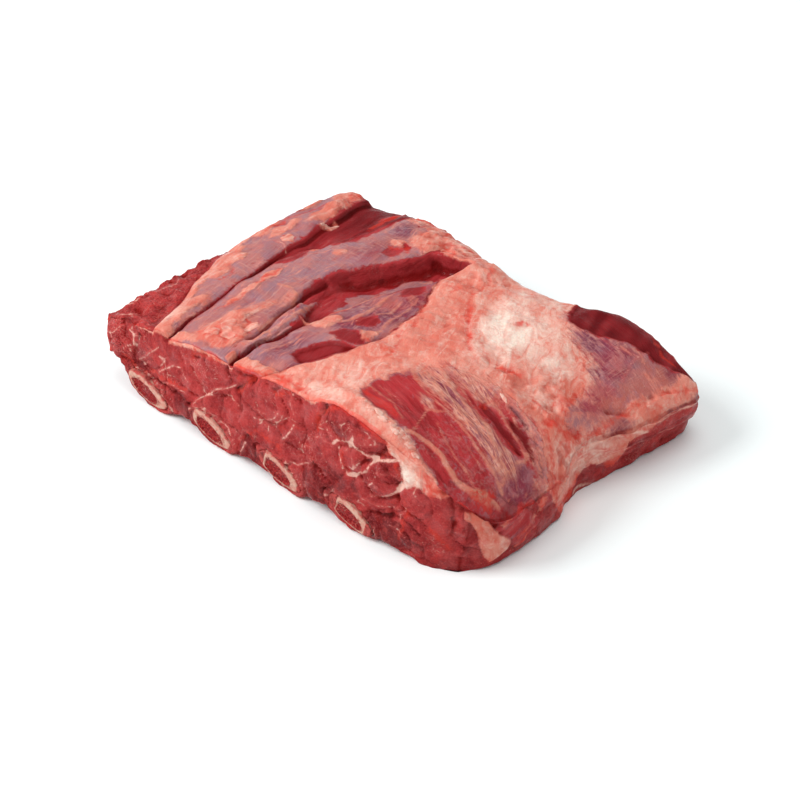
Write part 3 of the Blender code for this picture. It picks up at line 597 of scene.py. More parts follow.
def between(x, left, right):
    """Place across a strip: -1 on its left line, 1 on its right line."""
    return (2.0 * x - left - right) / np.maximum(right - left, 1.0)


def dome(t):
    """Round back of a strip: 1 along its middle and falling to 0 at its lines."""
    return 1.0 - np.clip(np.abs(t), 0.0, 1.0) ** 3.0


# --------------------------------------------------------------- plate shape
def top_form(x, y):
    """Height of the plain domed top: the net of heights, smoothed both ways."""
    net = np.array(TOP_HEIGHTS)
    rows, columns = net.shape
    u = np.clip((x / HALF_LENGTH + 1.0) / 2.0, 0.0, 0.99999) * (columns - 1)
    v = np.clip((y / HALF_DEPTH + 1.0) / 2.0, 0.0, 0.99999) * (rows - 1)
    i = u.astype(int)
    j = v.astype(int)
    height = np.zeros_like(x)
    for b, wv in enumerate(spline_weights(v - j)):
        row = np.clip(j + b - 1, 0, rows - 1)
        for a, wu in enumerate(spline_weights(u - i)):
            height += wv * wu * net[row, np.clip(i + a - 1, 0, columns - 1)]
    return height


def top_lines(y):
    """The strip lines at each y, with a little wander so that no line is ruled."""
    plain = 0.0 * y
    at = {}
    for index, (name, values) in enumerate(LINES.items()):
        wander = 0.7 * swell(plain, y, plain, 16.0, 31 + index) + 0.25 * swell(plain, y, plain, 6.0, 51 + index)
        at[name] = line(LINE_STATIONS, values, y) + wander
    return at


def slot_shapes(x, y, at):
    """How deep each point lies in the first slot with its valley, and in the second with its pocket.

    Each is its depth times a soft step in from its left line and one in from
    its right line: steep walls where the slot is narrow, slopes where it is wide.
    """
    open_way = ease((y + 5.0) / 22.0)
    depth = 3.8 - 1.0 * open_way
    depth = depth * (0.1 + 0.9 * ease((y + 91.0) / 9.0))
    left = (x - at["s1_right"]) / (0.9 + 0.9 * open_way)
    right = (at["s2_left"] - x) / (1.3 + 5.0 * open_way)
    valley = depth * ease(left) * ease(right)
    wide_way = ease((y + 45.0) / 22.0)
    opening = at["s4_left"] - 4.2 + (at["s2_right"] - at["s4_left"] + 4.2) * wide_way
    depth = 3.8 + (POCKET_DEPTH - 6.1) * ease((y + 25.0) / 60.0)
    depth = depth * (0.1 + 0.9 * ease((y + 92.0) / 9.0)) * ease((POCKET_END - y) / 6.0)
    left = (x - opening) / (1.1 + 7.0 * wide_way)
    right = (at["s4_left"] - x) / (1.3 + 6.0 * wide_way)
    pocket = depth * ease(left) * ease(right)
    return valley, pocket


def top_relief(x, y, at):
    """Strips, slots, valley, pocket, fat step and lean window on the domed top."""
    s1 = between(x, at["s1_left"], at["s1_right"])
    s2 = between(x, at["s2_left"], at["s2_right"])
    s4 = between(x, at["s4_left"], at["fat_left"])
    relief = STRIP_DOME * dome(s1) - 0.8 + STRIP_DOME * dome(s2)
    relief += 0.7 * STRIP_DOME * dome(s4) * ease((50.0 - y) / 20.0)
    valley, pocket = slot_shapes(x, y, at)
    relief -= valley + pocket
    relief += 2.0 * hump((x - at["ridge"] + 3.0) / 9.0) * ease((y - 16.0) / 16.0)
    relief -= 1.6 * ease(inside(x, y, LENS_EDGE) / 2.5)
    relief += FAT_STEP * ease((x - at["fat_left"] + 3.0) / 8.0)
    lip = np.hypot((x + 14.0) / 17.0, (y - 66.0) / 14.0)
    relief += 3.0 * ease(1.6 - lip)
    window = inside(x, y, WINDOW_EDGE)
    relief -= 1.5 * ease((window + 2.0) / 10.0)
    relief -= 1.4 * ease((x - 60.0 - 0.5 * (62.0 - y)) / 20.0) * ease((y - 8.0) / 12.0)
    right = line(RIGHT_STATIONS, RIGHT_REACH, y)
    fall = 9.0 - 6.0 * ease((y - 2.0) / 20.0)
    width = 16.0 - 7.0 * ease((y - 2.0) / 20.0)
    relief -= fall * (1.0 - ease((right - x) / width)) ** 1.5
    back = line(BACK_STATIONS, BACK_REACH, x) - line(BACK_STATIONS, BACK_DIP, x)
    fall = 3.0 + 7.0 * ease((x + 30.0) / 20.0) * ease((70.0 - x) / 20.0)
    relief -= fall * (1.0 - ease((back - y) / 15.0)) ** 1.5
    swelling = 2.8 * ease((x - 52.0) / 8.0) * hump((x - 72.0) / 36.0) - 1.2 * hump((x - 36.0) / 18.0)
    relief += swelling * ease((y - 56.0) / 22.0)
    return relief


def top_marks(x, y, at):
    """Signed distances, in millimetres, to the borders of each kind of surface on the top."""
    plain = 0.0 * x
    wx = x + 0.9 * swell(x, y, plain, 8.0, 81) + 0.4 * swell(x, y, plain, 3.5, 82)
    wy = y + 0.9 * swell(x, y, plain, 8.0, 83) + 0.4 * swell(x, y, plain, 3.5, 84)
    s1_wide = at["s1_right"] - at["s1_left"]
    in_s1 = np.minimum(x - at["s1_left"], at["s1_right"] - x)
    in_s2 = np.minimum(x - at["s2_left"], at["s2_right"] - x)
    in_s4 = np.minimum(x - at["s4_left"], at["fat_left"] - x)
    valley, pocket = slot_shapes(x, y, at)
    window = inside(wx, wy, WINDOW_EDGE)
    membrane = inside(wx, wy, MEMBRANE_EDGE)
    rim = np.where(x > 44.0, wy - line(RIM_STATIONS, RIM_LINE, x), -20.0)
    finger = inside(wx, wy, FINGER_EDGE)
    sx = x + 0.3 * (wx - x)
    sy = y + 0.3 * (wy - y)
    strand, strand_rise = strands(sx, sy)
    strand = np.where(strand > -4.0, strand + 0.25 * swell(x, y, plain, 5.0, 85), strand)

    # Fat: the plate's own slope, strip edges, patches and strands, less the lean
    fat = wx - at["fat_left"]
    fat = np.where(y > 50.0, np.maximum(fat, 0.6 * (wy - 70.0) + 0.3 * (wx + 40.0)), fat)
    blur = ease((y + 50.0) / 18.0) * ease((window + 16.0) / 10.0) * (x > FAT_SIDE)
    fat = np.where(x > FAT_SIDE, np.minimum(fat, -window / (1.2 + 7.5 * blur)), fat)
    fat = np.where(x > MEMBRANE_SIDE, np.minimum(fat, -membrane / 5.0 + 0.1), fat)
    blur = np.maximum(blur, ease((membrane + 18.0) / 10.0) * (x > MEMBRANE_SIDE))
    share = np.clip(0.36 + 0.14 * swell(plain, y, plain, 34.0, 86), 0.1, 0.8)
    fat = np.where(in_s1 > 0.0, np.maximum(fat, (at["s1_left"] + share * s1_wide - wx) / 1.5), fat)
    patch = patches(wx, wy, FAT_PATCHES)
    off_strips = ease(in_s1 / -1.0) * ease(-in_s2) * ease(-in_s4) * ease(-fat) * (x < 20.0)
    fat = np.maximum(fat, 5.0 * (patch - 0.5) - FAR * off_strips)
    gaps = patches(wx, wy, FILM_GAPS)
    lens = inside(wx, wy, LENS_EDGE)
    valley_lean = inside(wx, wy, VALLEY_LEAN)
    fat = np.minimum.reduce([
        fat, 2.0 - 1.4 * valley, 2.0 - 1.4 * pocket, -lens, -1.2 * rim, 6.0 * (0.5 - gaps),
        5.0 * (0.55 - patches(wx, wy, SILVER_PATCHES)), -valley_lean,
    ])
    fat = np.maximum.reduce([fat] + [inside(wx, wy, edge) for edge in STRIP_4_TAGS + (VALLEY_TAG,)])

    # Film: on the strips, the finger, the membrane and the upper part of the window
    skin = np.maximum.reduce([in_s1, in_s2, in_s4, 1.4 * finger])
    skin = np.where((x > at["s2_right"]) & (x < at["s4_left"]) & (y < -46.0), np.maximum(skin, 1.5 - pocket), skin)
    skin = np.minimum.reduce([
        skin, 1.6 - 1.2 * valley, np.maximum(1.6 - 1.2 * pocket, 1.4 * finger), -inside(wx, wy, STRIP_2_LEAN),
        -lens, -0.8 * inside(wx, wy, S4_LEAN) + 0.4, -1.2 * valley_lean, 5.0 * (0.5 - gaps),
    ] + [-0.9 * inside(wx, wy, edge) + 0.3 for edge in S4_REDS])
    skin = np.maximum(skin, inside(wx, wy, TORN_FILM) + 1.0)
    string = patches(wx, wy, STRING_PATCHES) * (window > -8.0)
    for edge in (LEAN_PATCH_2, LEAN_PATCH_3):
        string = string * (1.0 - 0.85 * ease((inside(wx, wy, edge) + 1.0) / 2.5))
    low = 14.0 - np.hypot(wx - 120.0, wy + 48.0)
    film = np.maximum.reduce([6.0 * (string - 0.35), low * 0.45, 0.7 * ease((wx - 74.0) / 10.0) - 0.7])
    film = np.minimum(film, FAR - 14.0 * patches(wx, wy, BARE_PATCHES))
    film = np.minimum(film, -np.maximum(inside(wx, wy, LEAN_PATCH_2), inside(wx, wy, LEAN_PATCH_3)))
    film = np.maximum(film, 1.8 - 0.5 * window * (1.0 + 2.0 * ease((-46.0 - y) / 12.0)))
    skin = np.where(x > FAT_SIDE, np.where(window > -3.0, film, np.maximum(skin, -3.0)), skin)
    skin = np.where((membrane > -5.0) & (x > MEMBRANE_SIDE), np.maximum(skin, (membrane + 2.5) / 2.0), skin)
    skin = np.minimum(skin, -rim)

    # Dark: painted shade by how deep each point lies in the slots, the pocket and the finger groove and along the
    # shade lines; the lean of the valley floor, darker towards the back; and the darker kinds of lean in the lens,
    # the lean patches and the rim
    streaks = swell(0.9 * x + 0.35 * y, 0.08 * (y - 0.4 * x), plain, 6.0, 88) + 0.6 * swell(x, y, plain, 16.0, 89)
    stripes = 0.15 * swell(x - at["s1_right"], y * 0.12, plain, 5.0, 87)
    shades = [
        0.85 * np.clip(valley / 3.6, 0.0, 1.0) * (1.0 - 0.75 * ease((y + 8.0) / 20.0)),
        0.75 * ease(valley / 1.2) * ease((y - 46.0) / 26.0) * ease((-86.0 - x) / 5.0),
        (0.4 + 0.42 * ease((y - 34.0) / 34.0) + stripes) * ease(inside(x, y, VALLEY_LEAN) / 2.0),
        0.8 * np.clip(pocket / 4.0, 0.0, 1.0) * (1.0 - 0.8 * ease((y + 40.0) / 25.0)),
        0.75 * ease((2.6 - off_line(x, y, FINGER_GROOVE)) / 2.0),
        0.5 * ease((y - 54.0) / 8.0) * ease(pocket / 3.0),
        (0.8 + 0.22 * streaks) * ease(rim / 3.0) * (1.0 - 0.4 * ease((y - 84.0) / 5.0)),
        ease(1.0 - line_marks(x, y, SHADE_LINES) / 1.2) * ease((window + 3.0) / 2.0 + (x < 0.0)),
        0.5 * ease(inside(x, y, LENS_EDGE)),
        0.5 * ease(inside(x, y, S4_LEAN) / 1.5),
        0.45 * ease(inside(x, y, STRIP_2_LEAN)),
    ]
    shades += [0.45 * ease(inside(x, y, edge) / 1.5) for edge in S4_REDS]
    shades += [0.6 * ease(inside(x, y, edge) / 1.5) for edge in (LEAN_PATCH_2, LEAN_PATCH_3)]
    dark = np.maximum.reduce(shades)
    rough = ease((at["s1_left"] - wx) / 1.5)
    return {
        "fat": fat, "skin": skin, "dark": dark, "rough": rough, "window": window, "rim": rim, "valley": valley,
        "pocket": pocket, "finger": finger, "rise": strand_rise, "strand": strand, "blur": blur, "string": string,
        "wx": wx, "wy": wy, "sx": sx, "sy": sy,
    }


def top_detail(x, y, at, marks):
    """Small relief: fat lobules and folds, muscle fibres, strands, crags and torn edges.

    Folds are terraces: a step wherever a wandering field crosses zero, so the
    fat looks like sheets laid over each other.
    """
    plain = 0.0 * x
    wx, wy = marks["wx"], marks["wy"]
    first, second = cells(wx + 1.2 * swell(x, y, plain, 9.0, 41), wy, 8.0, 5)
    small, _ = cells(wx, wy, 3.4, 6)
    fat = ease(marks["fat"] / 2.5)
    soft = 1.0 - 0.6 * ease(patches(x, y, CREAM_PATCHES))
    fold_field = swell(x, y, plain, 24.0, 44) + 0.35 * swell(x, y, plain, 9.0, 45)
    folds = 0.35 + 1.4 * patches(x, y, FOLD_PATCHES)
    detail = fat * folds * 0.62 * np.tanh(fold_field / 0.12)
    second_field = swell(x, y * 0.8, plain, 17.0, 46) + 0.3 * swell(x, y, plain, 6.0, 47)
    detail += fat * folds * 0.36 * np.tanh(second_field / 0.10)
    third = swell(x, y, plain, 9.0, 48) + 0.3 * swell(x, y, plain, 4.0, 49)
    detail += fat * (np.clip(folds, 0.0, 1.4) - 0.3) * 0.5 * np.tanh(third / 0.16)
    lobule = 0.32 * (1.0 - first ** 2) * ease((second - first) / 0.3) - 0.15 + 0.08 * (1.0 - small ** 2)
    detail += fat * soft * lobule
    detail += fat * sheet_edges(wx, wy)
    detail += 0.5 * ease(marks["fat"] / 1.2) * ease((at["fat_left"] - x) / 3.0)
    grain, _ = cells(x + 0.8 * swell(x, y, plain, 5.0, 43), y, 3.2, 7)
    detail += marks["rough"] * (0.9 * swell(x, y, plain, 8.0, 8) + 1.3 * (0.45 - grain) - 0.4)
    along_x = y + 0.22 * (x - 40.0)
    window = ease(marks["window"] / 2.0)
    detail += window * 0.14 * swell(along_x, x * 0.12, plain, 3.6, 9)
    detail += marks["rise"] * np.where(x > FAT_SIDE, window, 1.0)
    band = np.clip(marks["string"], 0.0, 1.0) * window
    detail += band * (0.7 + 0.25 * swell(along_x, x * 0.1, plain, 4.2, 10))
    across = 0.74 * (x - 20.0) + 0.67 * (y - 28.0)
    run = ((x - 20.0) * 0.67 - (y - 28.0) * 0.74) / 44.0
    detail += 1.1 * (ease(across / 2.4 + 0.5) - 0.5) * hump((run - 0.5) / 0.62) * hump(across / 16.0)
    detail -= 1.0 * ease(inside(x, y, LEAN_PATCH_2) / 2.0) + 1.0 * ease(inside(x, y, LEAN_PATCH_3) / 2.0)
    stripes = swell(x - at["s1_right"], y * 0.1, plain, 3.4, 11)
    lean = ease((marks["valley"] + marks["pocket"] - 2.0) / 3.0)
    detail += lean * (0.28 * stripes + 0.5 * swell(x, y * 0.4, plain, 10.0, 13))
    strips = ease((at["fat_left"] - x) / 4.0) * (1.0 - lean) * (1.0 - marks["rough"])
    detail += strips * (0.10 * stripes + 0.3 * swell(x, y * 0.35, plain, 10.0, 12))
    detail += 1.3 * ease((marks["finger"] + 0.6) / 1.6)
    detail -= 2.4 * hump(off_line(x, y, FINGER_GROOVE) / 3.0)
    detail -= 0.9 * ease((line_marks(x, y, SHADE_LINES) - 0.6) / -1.2)
    detail -= 0.35 * ease((1.0 - line_marks(wx, wy, RED_TEARS)) / 1.2)
    detail += 0.18 * ease((0.6 - line_marks(marks["sx"], marks["sy"], PALE_THREADS)) / 0.8)
    step = line(STEP_STATIONS, STEP_LINE, y)
    fallen = ease((step - x) / 1.2) * ease((x - at["s1_right"]) / 3.0)
    detail -= fallen * ease((y - 18.0) / 10.0) * ease((97.0 - y) / 8.0)
    detail -= 0.9 * ease(marks["rim"] / 2.0) * ease((x - 46.0) / 4.0)
    detail += 0.5 * hump(marks["rim"] / 3.0) * ease((x - 46.0) / 4.0)
    detail -= 1.2 * hump(off_line(x, y, MEMBRANE_GROOVE) / 3.0)
    detail += 0.5 * hump(off_line(x, y, MEMBRANE_FOLD) / 3.0)
    detail -= 0.7 * ease(patches(x, y, FILM_GAPS) - 0.3)
    crest = off_line(x, y, WINDOW_CREST)
    detail += 1.9 * hump(crest / 6.0) * (0.85 + 0.15 * swell(x, y, plain, 7.0, 14))
    return detail


def rib_phase(x, y):
    """Distance across the ribs from the first rib's low side, counted in ribs."""
    slant = np.interp(x, [RIB_FIRST + RIB_PITCH * i for i in range(RIB_COUNT)], RIB_SLANT)
    return (x - slant * y / HALF_DEPTH - RIB_FIRST - SCALLOP_SHIFT) / RIB_PITCH


def under_surface(x, y):
    """Underside: a wave that sags under each rib, cut flat where it meets the board."""
    phase = rib_phase(x, y)
    wave = 0.5 - 0.5 * np.cos(2.0 * math.pi * phase)
    rise = SCALLOP_RISE * (1.0 - 0.6 * ease((phase - 3.0) / 0.5))
    height = rise * wave
    height += LEFT_LIFT * ease((RIB_FIRST - 9.0 - x) / 20.0)
    height += 0.4 * swell(x, y, 0.0 * x, 22.0, 5) * ease((height - 1.2) / 2.0)
    height += 0.25 * swell(x, y, 0.0 * x, 8.0, 51) * ease((height - 1.2) / 2.0)
    return np.maximum(height - LAND_CUT, 0.0)


def rib_middle(index, y):
    """The x of one rib's middle line at y: slanted and slightly bowed."""
    t = np.clip(y / HALF_DEPTH, -1.1, 1.1)
    bow = 1.2 * (1.0 - t * t) * (1.0 if index < 2 else -1.0)
    return RIB_FIRST + RIB_PITCH * index + RIB_SLANT[index] * t + bow


def rib_away(x, y, z):
    """Distance from the nearest rib's middle in the oval's own measure: 1 on the bone's surface."""
    tilt = math.radians(RIB_TILT)
    best = np.full_like(x, FAR)
    for index in range(RIB_COUNT):
        dx = x - rib_middle(index, y)
        dz = z - RIB_CENTRE_HEIGHT
        along = dx * math.cos(tilt) + dz * math.sin(tilt)
        upward = -dx * math.sin(tilt) + dz * math.cos(tilt)
        best = np.minimum(best, np.hypot(along / RIB_HALF[0], upward / RIB_HALF[1]))
    return best


def plate_points(a, b, w):
    """Points of the plate from grid places: a and b run from -1 to 1 in plan, w from 0 to 1 in height."""
    x = a * HALF_LENGTH
    y = b * HALF_DEPTH
    for (sx, sy), radius in CORNER_RADII.items():
        p = (sx * x - HALF_LENGTH + radius) / radius
        q = (sy * y - HALF_DEPTH + radius) / radius
        corner = (p > 0.0) & (q > 0.0)
        px = p * np.sqrt(np.clip(1.0 - q * q / 2.0, 0.0, 1.0))
        qy = q * np.sqrt(np.clip(1.0 - p * p / 2.0, 0.0, 1.0))
        x = np.where(corner, sx * (HALF_LENGTH - radius + radius * px), x)
        y = np.where(corner, sy * (HALF_DEPTH - radius + radius * qy), y)
    right = line(RIGHT_STATIONS, RIGHT_REACH, y)
    right -= line(RIGHT_STATIONS, RIGHT_UNDERCUT, y) * (1.0 - ease(w * 1.3))
    left = line(LEFT_STATIONS, LEFT_REACH, y) - LEFT_UNDERCUT * (1.0 - ease(w * 1.6))
    front = line(FRONT_STATIONS, FRONT_REACH, x) - FRONT_LEAN * w * (1.0 - 0.5 * ease(x / 100.0))
    back = line(BACK_STATIONS, BACK_REACH, x) - BACK_LEAN * w
    back -= line(BACK_STATIONS, BACK_DIP, x) * ease(w * 1.4 - 0.3)
    x = np.where(x > 0.0, x * right / HALF_LENGTH, x * left / HALF_LENGTH)
    y = np.where(y > 0.0, y * back / HALF_DEPTH, y * front / HALF_DEPTH)
    return x, y


def front_marks(x, z):
    """Distance to the nearest white thread, relief and tone of the cut face at (x, z).

    Muscle bundles are warped cells, each slightly domed with a groove between
    neighbours and a tone of its own; named lobes and seams lie on top, and the
    seams are darkened in tone as painted shade.
    """
    plain = 0.0 * x
    wx = x + 0.8 * swell(x, plain, z, 7.0, 61) + 0.3 * swell(x, plain, z, 3.0, 63)
    wz = z + 0.8 * swell(x, plain, z, 7.0, 62) + 0.3 * swell(x, plain, z, 3.0, 64)
    tx = x + 0.35 * (wx - x)
    tz = z + 0.35 * (wz - z)
    thread = line_marks(tx, tz, [(points, 0.24 * thick) for points, thick in FRONT_THREADS])
    for edge in FRONT_KNOTS:
        thread = np.minimum(thread, -inside(tx, tz, edge))
    rise = np.zeros_like(x)
    tone = 0.35 * swell(x, plain, z, 26.0, 65)
    big_x = wx + 4.0 * swell(x, plain, z, 22.0, 66)
    big_z = wz + 3.0 * swell(x, plain, z, 22.0, 67)
    lobed = np.zeros_like(x)
    for cx, cz, rx, rz, lift, shade in FRONT_LOBES:
        away = np.hypot((wx - cx) / rx, (wz - cz) / rz)
        lobed = np.maximum(lobed, ease(1.4 - away))
        rise += lift * (1.5 * np.sqrt(np.clip(1.1 - away ** 2, 0.0, 1.0)) + 0.2 * ease((1.06 - away) / 0.1))
        rise -= 0.5 * lift * hump((away - 1.08) / 0.14)
        tone += shade * ease((1.25 - away) / 0.6)
    first, second = cells(big_x, big_z * 1.25, 19.0, 21)
    groove = ease((0.16 - (second - first)) / 0.16)
    rise += (1.0 - lobed) * (0.9 * (0.6 - first ** 1.5) - 0.7 * groove)
    fine, other = cells(wx, wz, 5.5, 22)
    rise += 0.20 * (0.5 - fine) - 0.12 * ease((0.2 - (other - fine)) / 0.2)
    for points, deep in FRONT_SEAMS:
        away = off_line(wx, wz, points)
        rise -= 0.9 * deep * hump(away / (0.9 + 0.8 * deep))
        # Painted shade: each seam is darkened in tone as well as cut in
        tone -= 0.9 * deep * hump(away / (0.5 + 0.6 * deep))
    rise += 0.25 * hump(thread / 1.4)
    vein = np.where(groove > 0.0, (second - first) * 9.0 - 0.15, FAR)
    wisp = ease(swell(x, plain, z, 17.0, 68) + 0.1)
    thread = np.minimum(thread, np.where(wisp > 0.4, vein, FAR))
    tear = line_marks(wx, wz, FRONT_TEARS)
    fat = np.maximum(inside(wx, wz, FRONT_FAT), inside(wx, wz, FRONT_FAT_2))
    rise = rise * (1.0 - 0.8 * ease((fat + 1.0) / 2.0)) + 0.5 * ease((fat + 0.6) / 1.6)
    return thread, rise, tone, groove, tear, fat


def corner_marks(x, y, z):
    """Wedge of fat, rolled flap and crevice on the rounded front right corner.

    The corner is read square on: u runs along the diagonal of the corner, z up.
    """
    plain = 0.0 * x
    u = (x + y) / math.sqrt(2.0)
    u = u + 0.5 * swell(x, y, z, 7.0, 91)
    v = z + 0.5 * swell(x, y, z, 7.0, 92)
    here = ease((x - 92.0) / 8.0) * ease((-18.0 - y) / 6.0)
    wedge = inside(u, v, CORNER_WEDGE)
    roll = inside(u, v, CORNER_ROLL)
    crevice = off_line(u, v, CORNER_CREVICE)
    ridge = off_line(u, v, CORNER_RIDGE)
    rise = 1.3 * ease((wedge + 0.3) / 1.2) + 1.8 * ease((roll + 0.5) / 5.0)
    rise += 0.35 * swell(v - 0.5 * u, plain, plain, 4.0, 93) * ease(roll / 2.0)
    rise -= 2.4 * hump(crevice / 3.0)
    rise += 1.5 * hump(ridge / 4.0)
    rise -= 1.4 * hump(off_line(u, v, CORNER_SEAM) / 3.0)
    return np.where(here > 0.0, wedge, -FAR), np.where(here > 0.0, roll, -FAR), rise * here, here


def outward(x, y, a, b):
    """How much a point belongs to the left or right side and to the front or back wall, and its outward way."""
    side = ease((np.abs(a) - 0.985) / 0.01)
    wall = ease((np.abs(b) - 0.975) / 0.02)
    round_a = ease((np.abs(a) - 0.86) / 0.14) * (np.abs(b) > 0.99)
    round_b = ease((np.abs(b) - 0.86) / 0.14) * (np.abs(a) > 0.99)
    nx = np.sign(a) * np.maximum(side, round_a * wall * (x > 90.0) * (y < 0.0))
    ny = np.sign(b) * np.maximum(wall, round_b * side * (x > 90.0) * (y < 0.0))
    length = np.maximum(np.hypot(nx, ny), 1.0)
    return side, wall, nx / length, ny / length


def grain_ways(x, y, z, at, roll, diagonal, falling):
    """Coordinates along and across the grain of the lean and film (flow) and of the fat (drift)."""
    strip = (x < at["fat_left"])[:, None]
    plain = 0.0 * x
    along = np.stack([x - at["s1_right"], y, z], axis=1)
    flow = np.where(strip, along, np.stack([y + 0.22 * (x - 40.0), x, z], axis=1))
    flow = np.where((roll > 0.0)[:, None], np.stack([z - 0.45 * (x + y), x - y, plain], axis=1), flow)
    drift = np.where(strip, along, np.stack([0.85 * x + 0.53 * y, 0.53 * x - 0.85 * y, z], axis=1))
    down = np.stack([diagonal + 0.35 * z, z - 0.2 * diagonal, plain], axis=1)
    return {"flow": flow, "drift": np.where(falling[:, None], down, drift)}


def plate_surface(a, b, w):
    """Finished points of the plate and the marks that its material reads."""
    x, y = plate_points(a, b, w)
    at = top_lines(y)
    marks = top_marks(x, y, at)
    plain = 0.0 * x
    top = top_height(x, y, at, marks)
    low = under_surface(x, y)
    z = low + w * (top - low)

    # Lips: the edge of the first strip hangs a little over its slot
    over = np.exp(-((x - at["s1_right"] + 0.4) / 1.3) ** 2) * ease((w - 0.97) / 0.03)
    x = x + 1.1 * over * (0.6 + 0.4 * swell(plain, y, plain, 12.0, 15)) * ease((88.0 - np.abs(y)) / 6.0)

    side, wall, nx, ny = outward(x, y, a, b)
    fine = 0.22 * swell(x, y, z, 6.0, 71) + 0.14 * swell(x, y, z, 3.0, 72)
    front_x = np.where(b > 0.0, -x * 0.93 + 9.0, x)
    thread, rise, tone, groove, front_tear, front_fat = front_marks(front_x, z)
    socket = rib_away(x, y, z)
    rise = rise - 1.0 + fine
    rise = rise - 3.2 * ease((0.95 - socket) / 0.1) + 1.0 * hump((socket - 1.12) / 0.15)
    rise = rise - 0.5 * hump((socket - 1.3) / 0.1)
    rise = rise + 0.5 * hump((socket - 1.42) / 0.1) * (z > RIB_CENTRE_HEIGHT)
    crag = swell(x, y, z, 9.0, 73) + 0.5 * swell(x, y, z, 4.5, 74)
    ledge = swell(x * 0.2, y * 0.30, z, 5.0, 75)
    side_rise = np.where(a < 0.0, 0.9 * crag - 0.9, 0.5 * crag + 0.5 * ledge - 0.8)
    wedge, roll, corner_rise, here = corner_marks(x, y, z)
    share = np.clip(np.abs(ny), 0.0, 1.0)
    share = np.where(here > 0.0, share * (1.0 - 0.6 * here), share)
    push = rise * share + side_rise * (1.0 - share) + corner_rise - 0.8 * here
    right = ease((x - 104.0) / 6.0) * ease((y + 24.0) / 10.0)
    rounded = ease((1.0 - w) / (0.06 + 0.16 * right)) * (0.75 - 0.25 * right) + 0.25 + 0.25 * right
    edge_lump = 0.7 * swell(x, y, z, 13.0, 76) + 0.5 * swell(x, y, z, 5.0, 77)
    push = push * rounded + edge_lump * ease((w - 0.8) / 0.15) * 0.7 - 0.5 * ease((w - 0.95) / 0.05)
    x = x + nx * push
    y = y + ny * push
    outer = ease((np.maximum(np.abs(a), np.abs(b)) - 0.994 + 0.018 * right) / (0.006 + 0.018 * right))
    z = z - (0.9 + 0.7 * right) * outer * ease((w - 0.97 + 0.12 * right) / (0.03 + 0.12 * right))

    cut = np.clip(wall + side, 0.0, 1.0) * ease((1.0 - w) * 30.0)
    on_wall = cut > 0.5
    under = ease((0.02 - w) / 0.02)
    depth = top - z
    rim_place = np.maximum(np.abs(a) - 1.0, np.abs(b) - 1.0) * 94.0
    edge = np.where(on_wall, 2.0 - depth, 1.9 + rim_place) + 0.8 * swell(x, y, z, 6.0, 78)
    flesh = hump((socket - 1.12) / 0.2) + 0.7 * hump((socket - 1.42) / 0.14) * (z > RIB_CENTRE_HEIGHT)
    thread = np.where(share > 0.5, np.minimum(thread, 2.2 - 1.9 * np.clip(flesh, 0.0, 1.0)), thread)
    edge = edge + 1.6 * swell(x, y, z, 21.0, 79) - 1.0 - 5.0 * ease((front_fat + 3.0) / 3.0) * (x > 60.0)
    edge = edge + 0.8 * ease((x + 34.0) / 8.0) * ease((12.0 - x) / 8.0) * (b < -0.5)
    edge = edge - 6.0 * ease((x - 104.0) / 6.0) * ease((y + 14.0) / 8.0) * (z > 20.0)
    # Bright red lean, and a painted highlight along the valley's ridge, take the red of the trimmed edge
    bright_and_highlight = 4.0 * (patches(marks["wx"], marks["wy"], BRIGHT_RED_AND_HIGHLIGHT_PATCHES) - 0.55)
    edge = np.where(cut < 0.5, np.maximum(edge, bright_and_highlight), edge)
    phase = rib_phase(x, y)
    ribs = np.cos(2.0 * math.pi * (phase - 0.04)) * ease((phase + 0.35) / 0.1) * ease((3.35 - phase) / 0.1)
    diagonal = (x + y) / math.sqrt(2.0) + 0.8 * swell(x, y, z, 9.0, 94) + 0.5 * swell(x, y, z * 0.3, 3.5, 95)
    hang = 0.6 * (z - np.interp(diagonal, HANG_STATIONS, HANG_LOW)) * ease((x - CORNER_SIDE) / 6.0)
    hang = hang - FAR * (x < CORNER_SIDE) - FAR * (wall > side)
    band = line(BAND_STATIONS, BAND_DEPTHS, front_x) * (wall > side) - depth
    streaks = 1.7 * swell(z - 0.45 * (x + y), 0.06 * (x - y), plain, 5.0, 97) - 0.7 + 0.5 * swell(x, y, z, 9.0, 98)
    streaks = np.where((roll > 0.0) & (wedge < -2.0), np.minimum(streaks, 0.5 * roll), -FAR)
    flake = here * FAR - FAR + inside(diagonal, z, CORNER_FLAKE)
    wall_fat = np.maximum.reduce([wedge, hang, band, streaks, np.where(wall > side, front_fat, -FAR), flake])
    fat = np.where(on_wall, wall_fat, marks["fat"])
    fat = fat * (1.0 - under) + under * (-1.4 + 2.6 * ribs)
    skin = marks["skin"] * (1.0 - under) + under * (0.6 + 1.2 * ribs)
    side_film = swell(x * 0.3, y * 0.3, z, 8.0, 79) - 0.4
    skin = np.where(on_wall, np.where(side > wall, 2.0 * side_film, -4.0), skin)
    upper = 1.0 - under
    top_side = (1.0 - cut) * upper
    tear = np.where(wall > side, front_tear, FAR)
    top_tear = line_marks(marks["wx"], marks["wy"], RED_TEARS) + FAR * under
    top_thread = line_marks(marks["sx"], marks["sy"], PALE_THREADS) + 4.0 * under
    triangle = 0.95 * ease((front_fat + 1.0) / 2.0) * (0.1 + 0.9 * ease((depth - 1.5) / 9.0))
    triangle = triangle * (1.0 - 0.85 * ease((x - 86.0) / 14.0)) * (wall > side)
    cream = np.where(on_wall, triangle, patches(x, y, CREAM_PATCHES))
    cream = cream + 0.45 * (side > 0.5) * hump((diagonal - 90.0) / 16.0) * ease((z - 12.0) / 6.0)
    wall_stain = ease((x - 84.0) / 18.0) * (0.4 + 0.9 * ease((15.0 - z) / 6.0) + 0.6 * here)
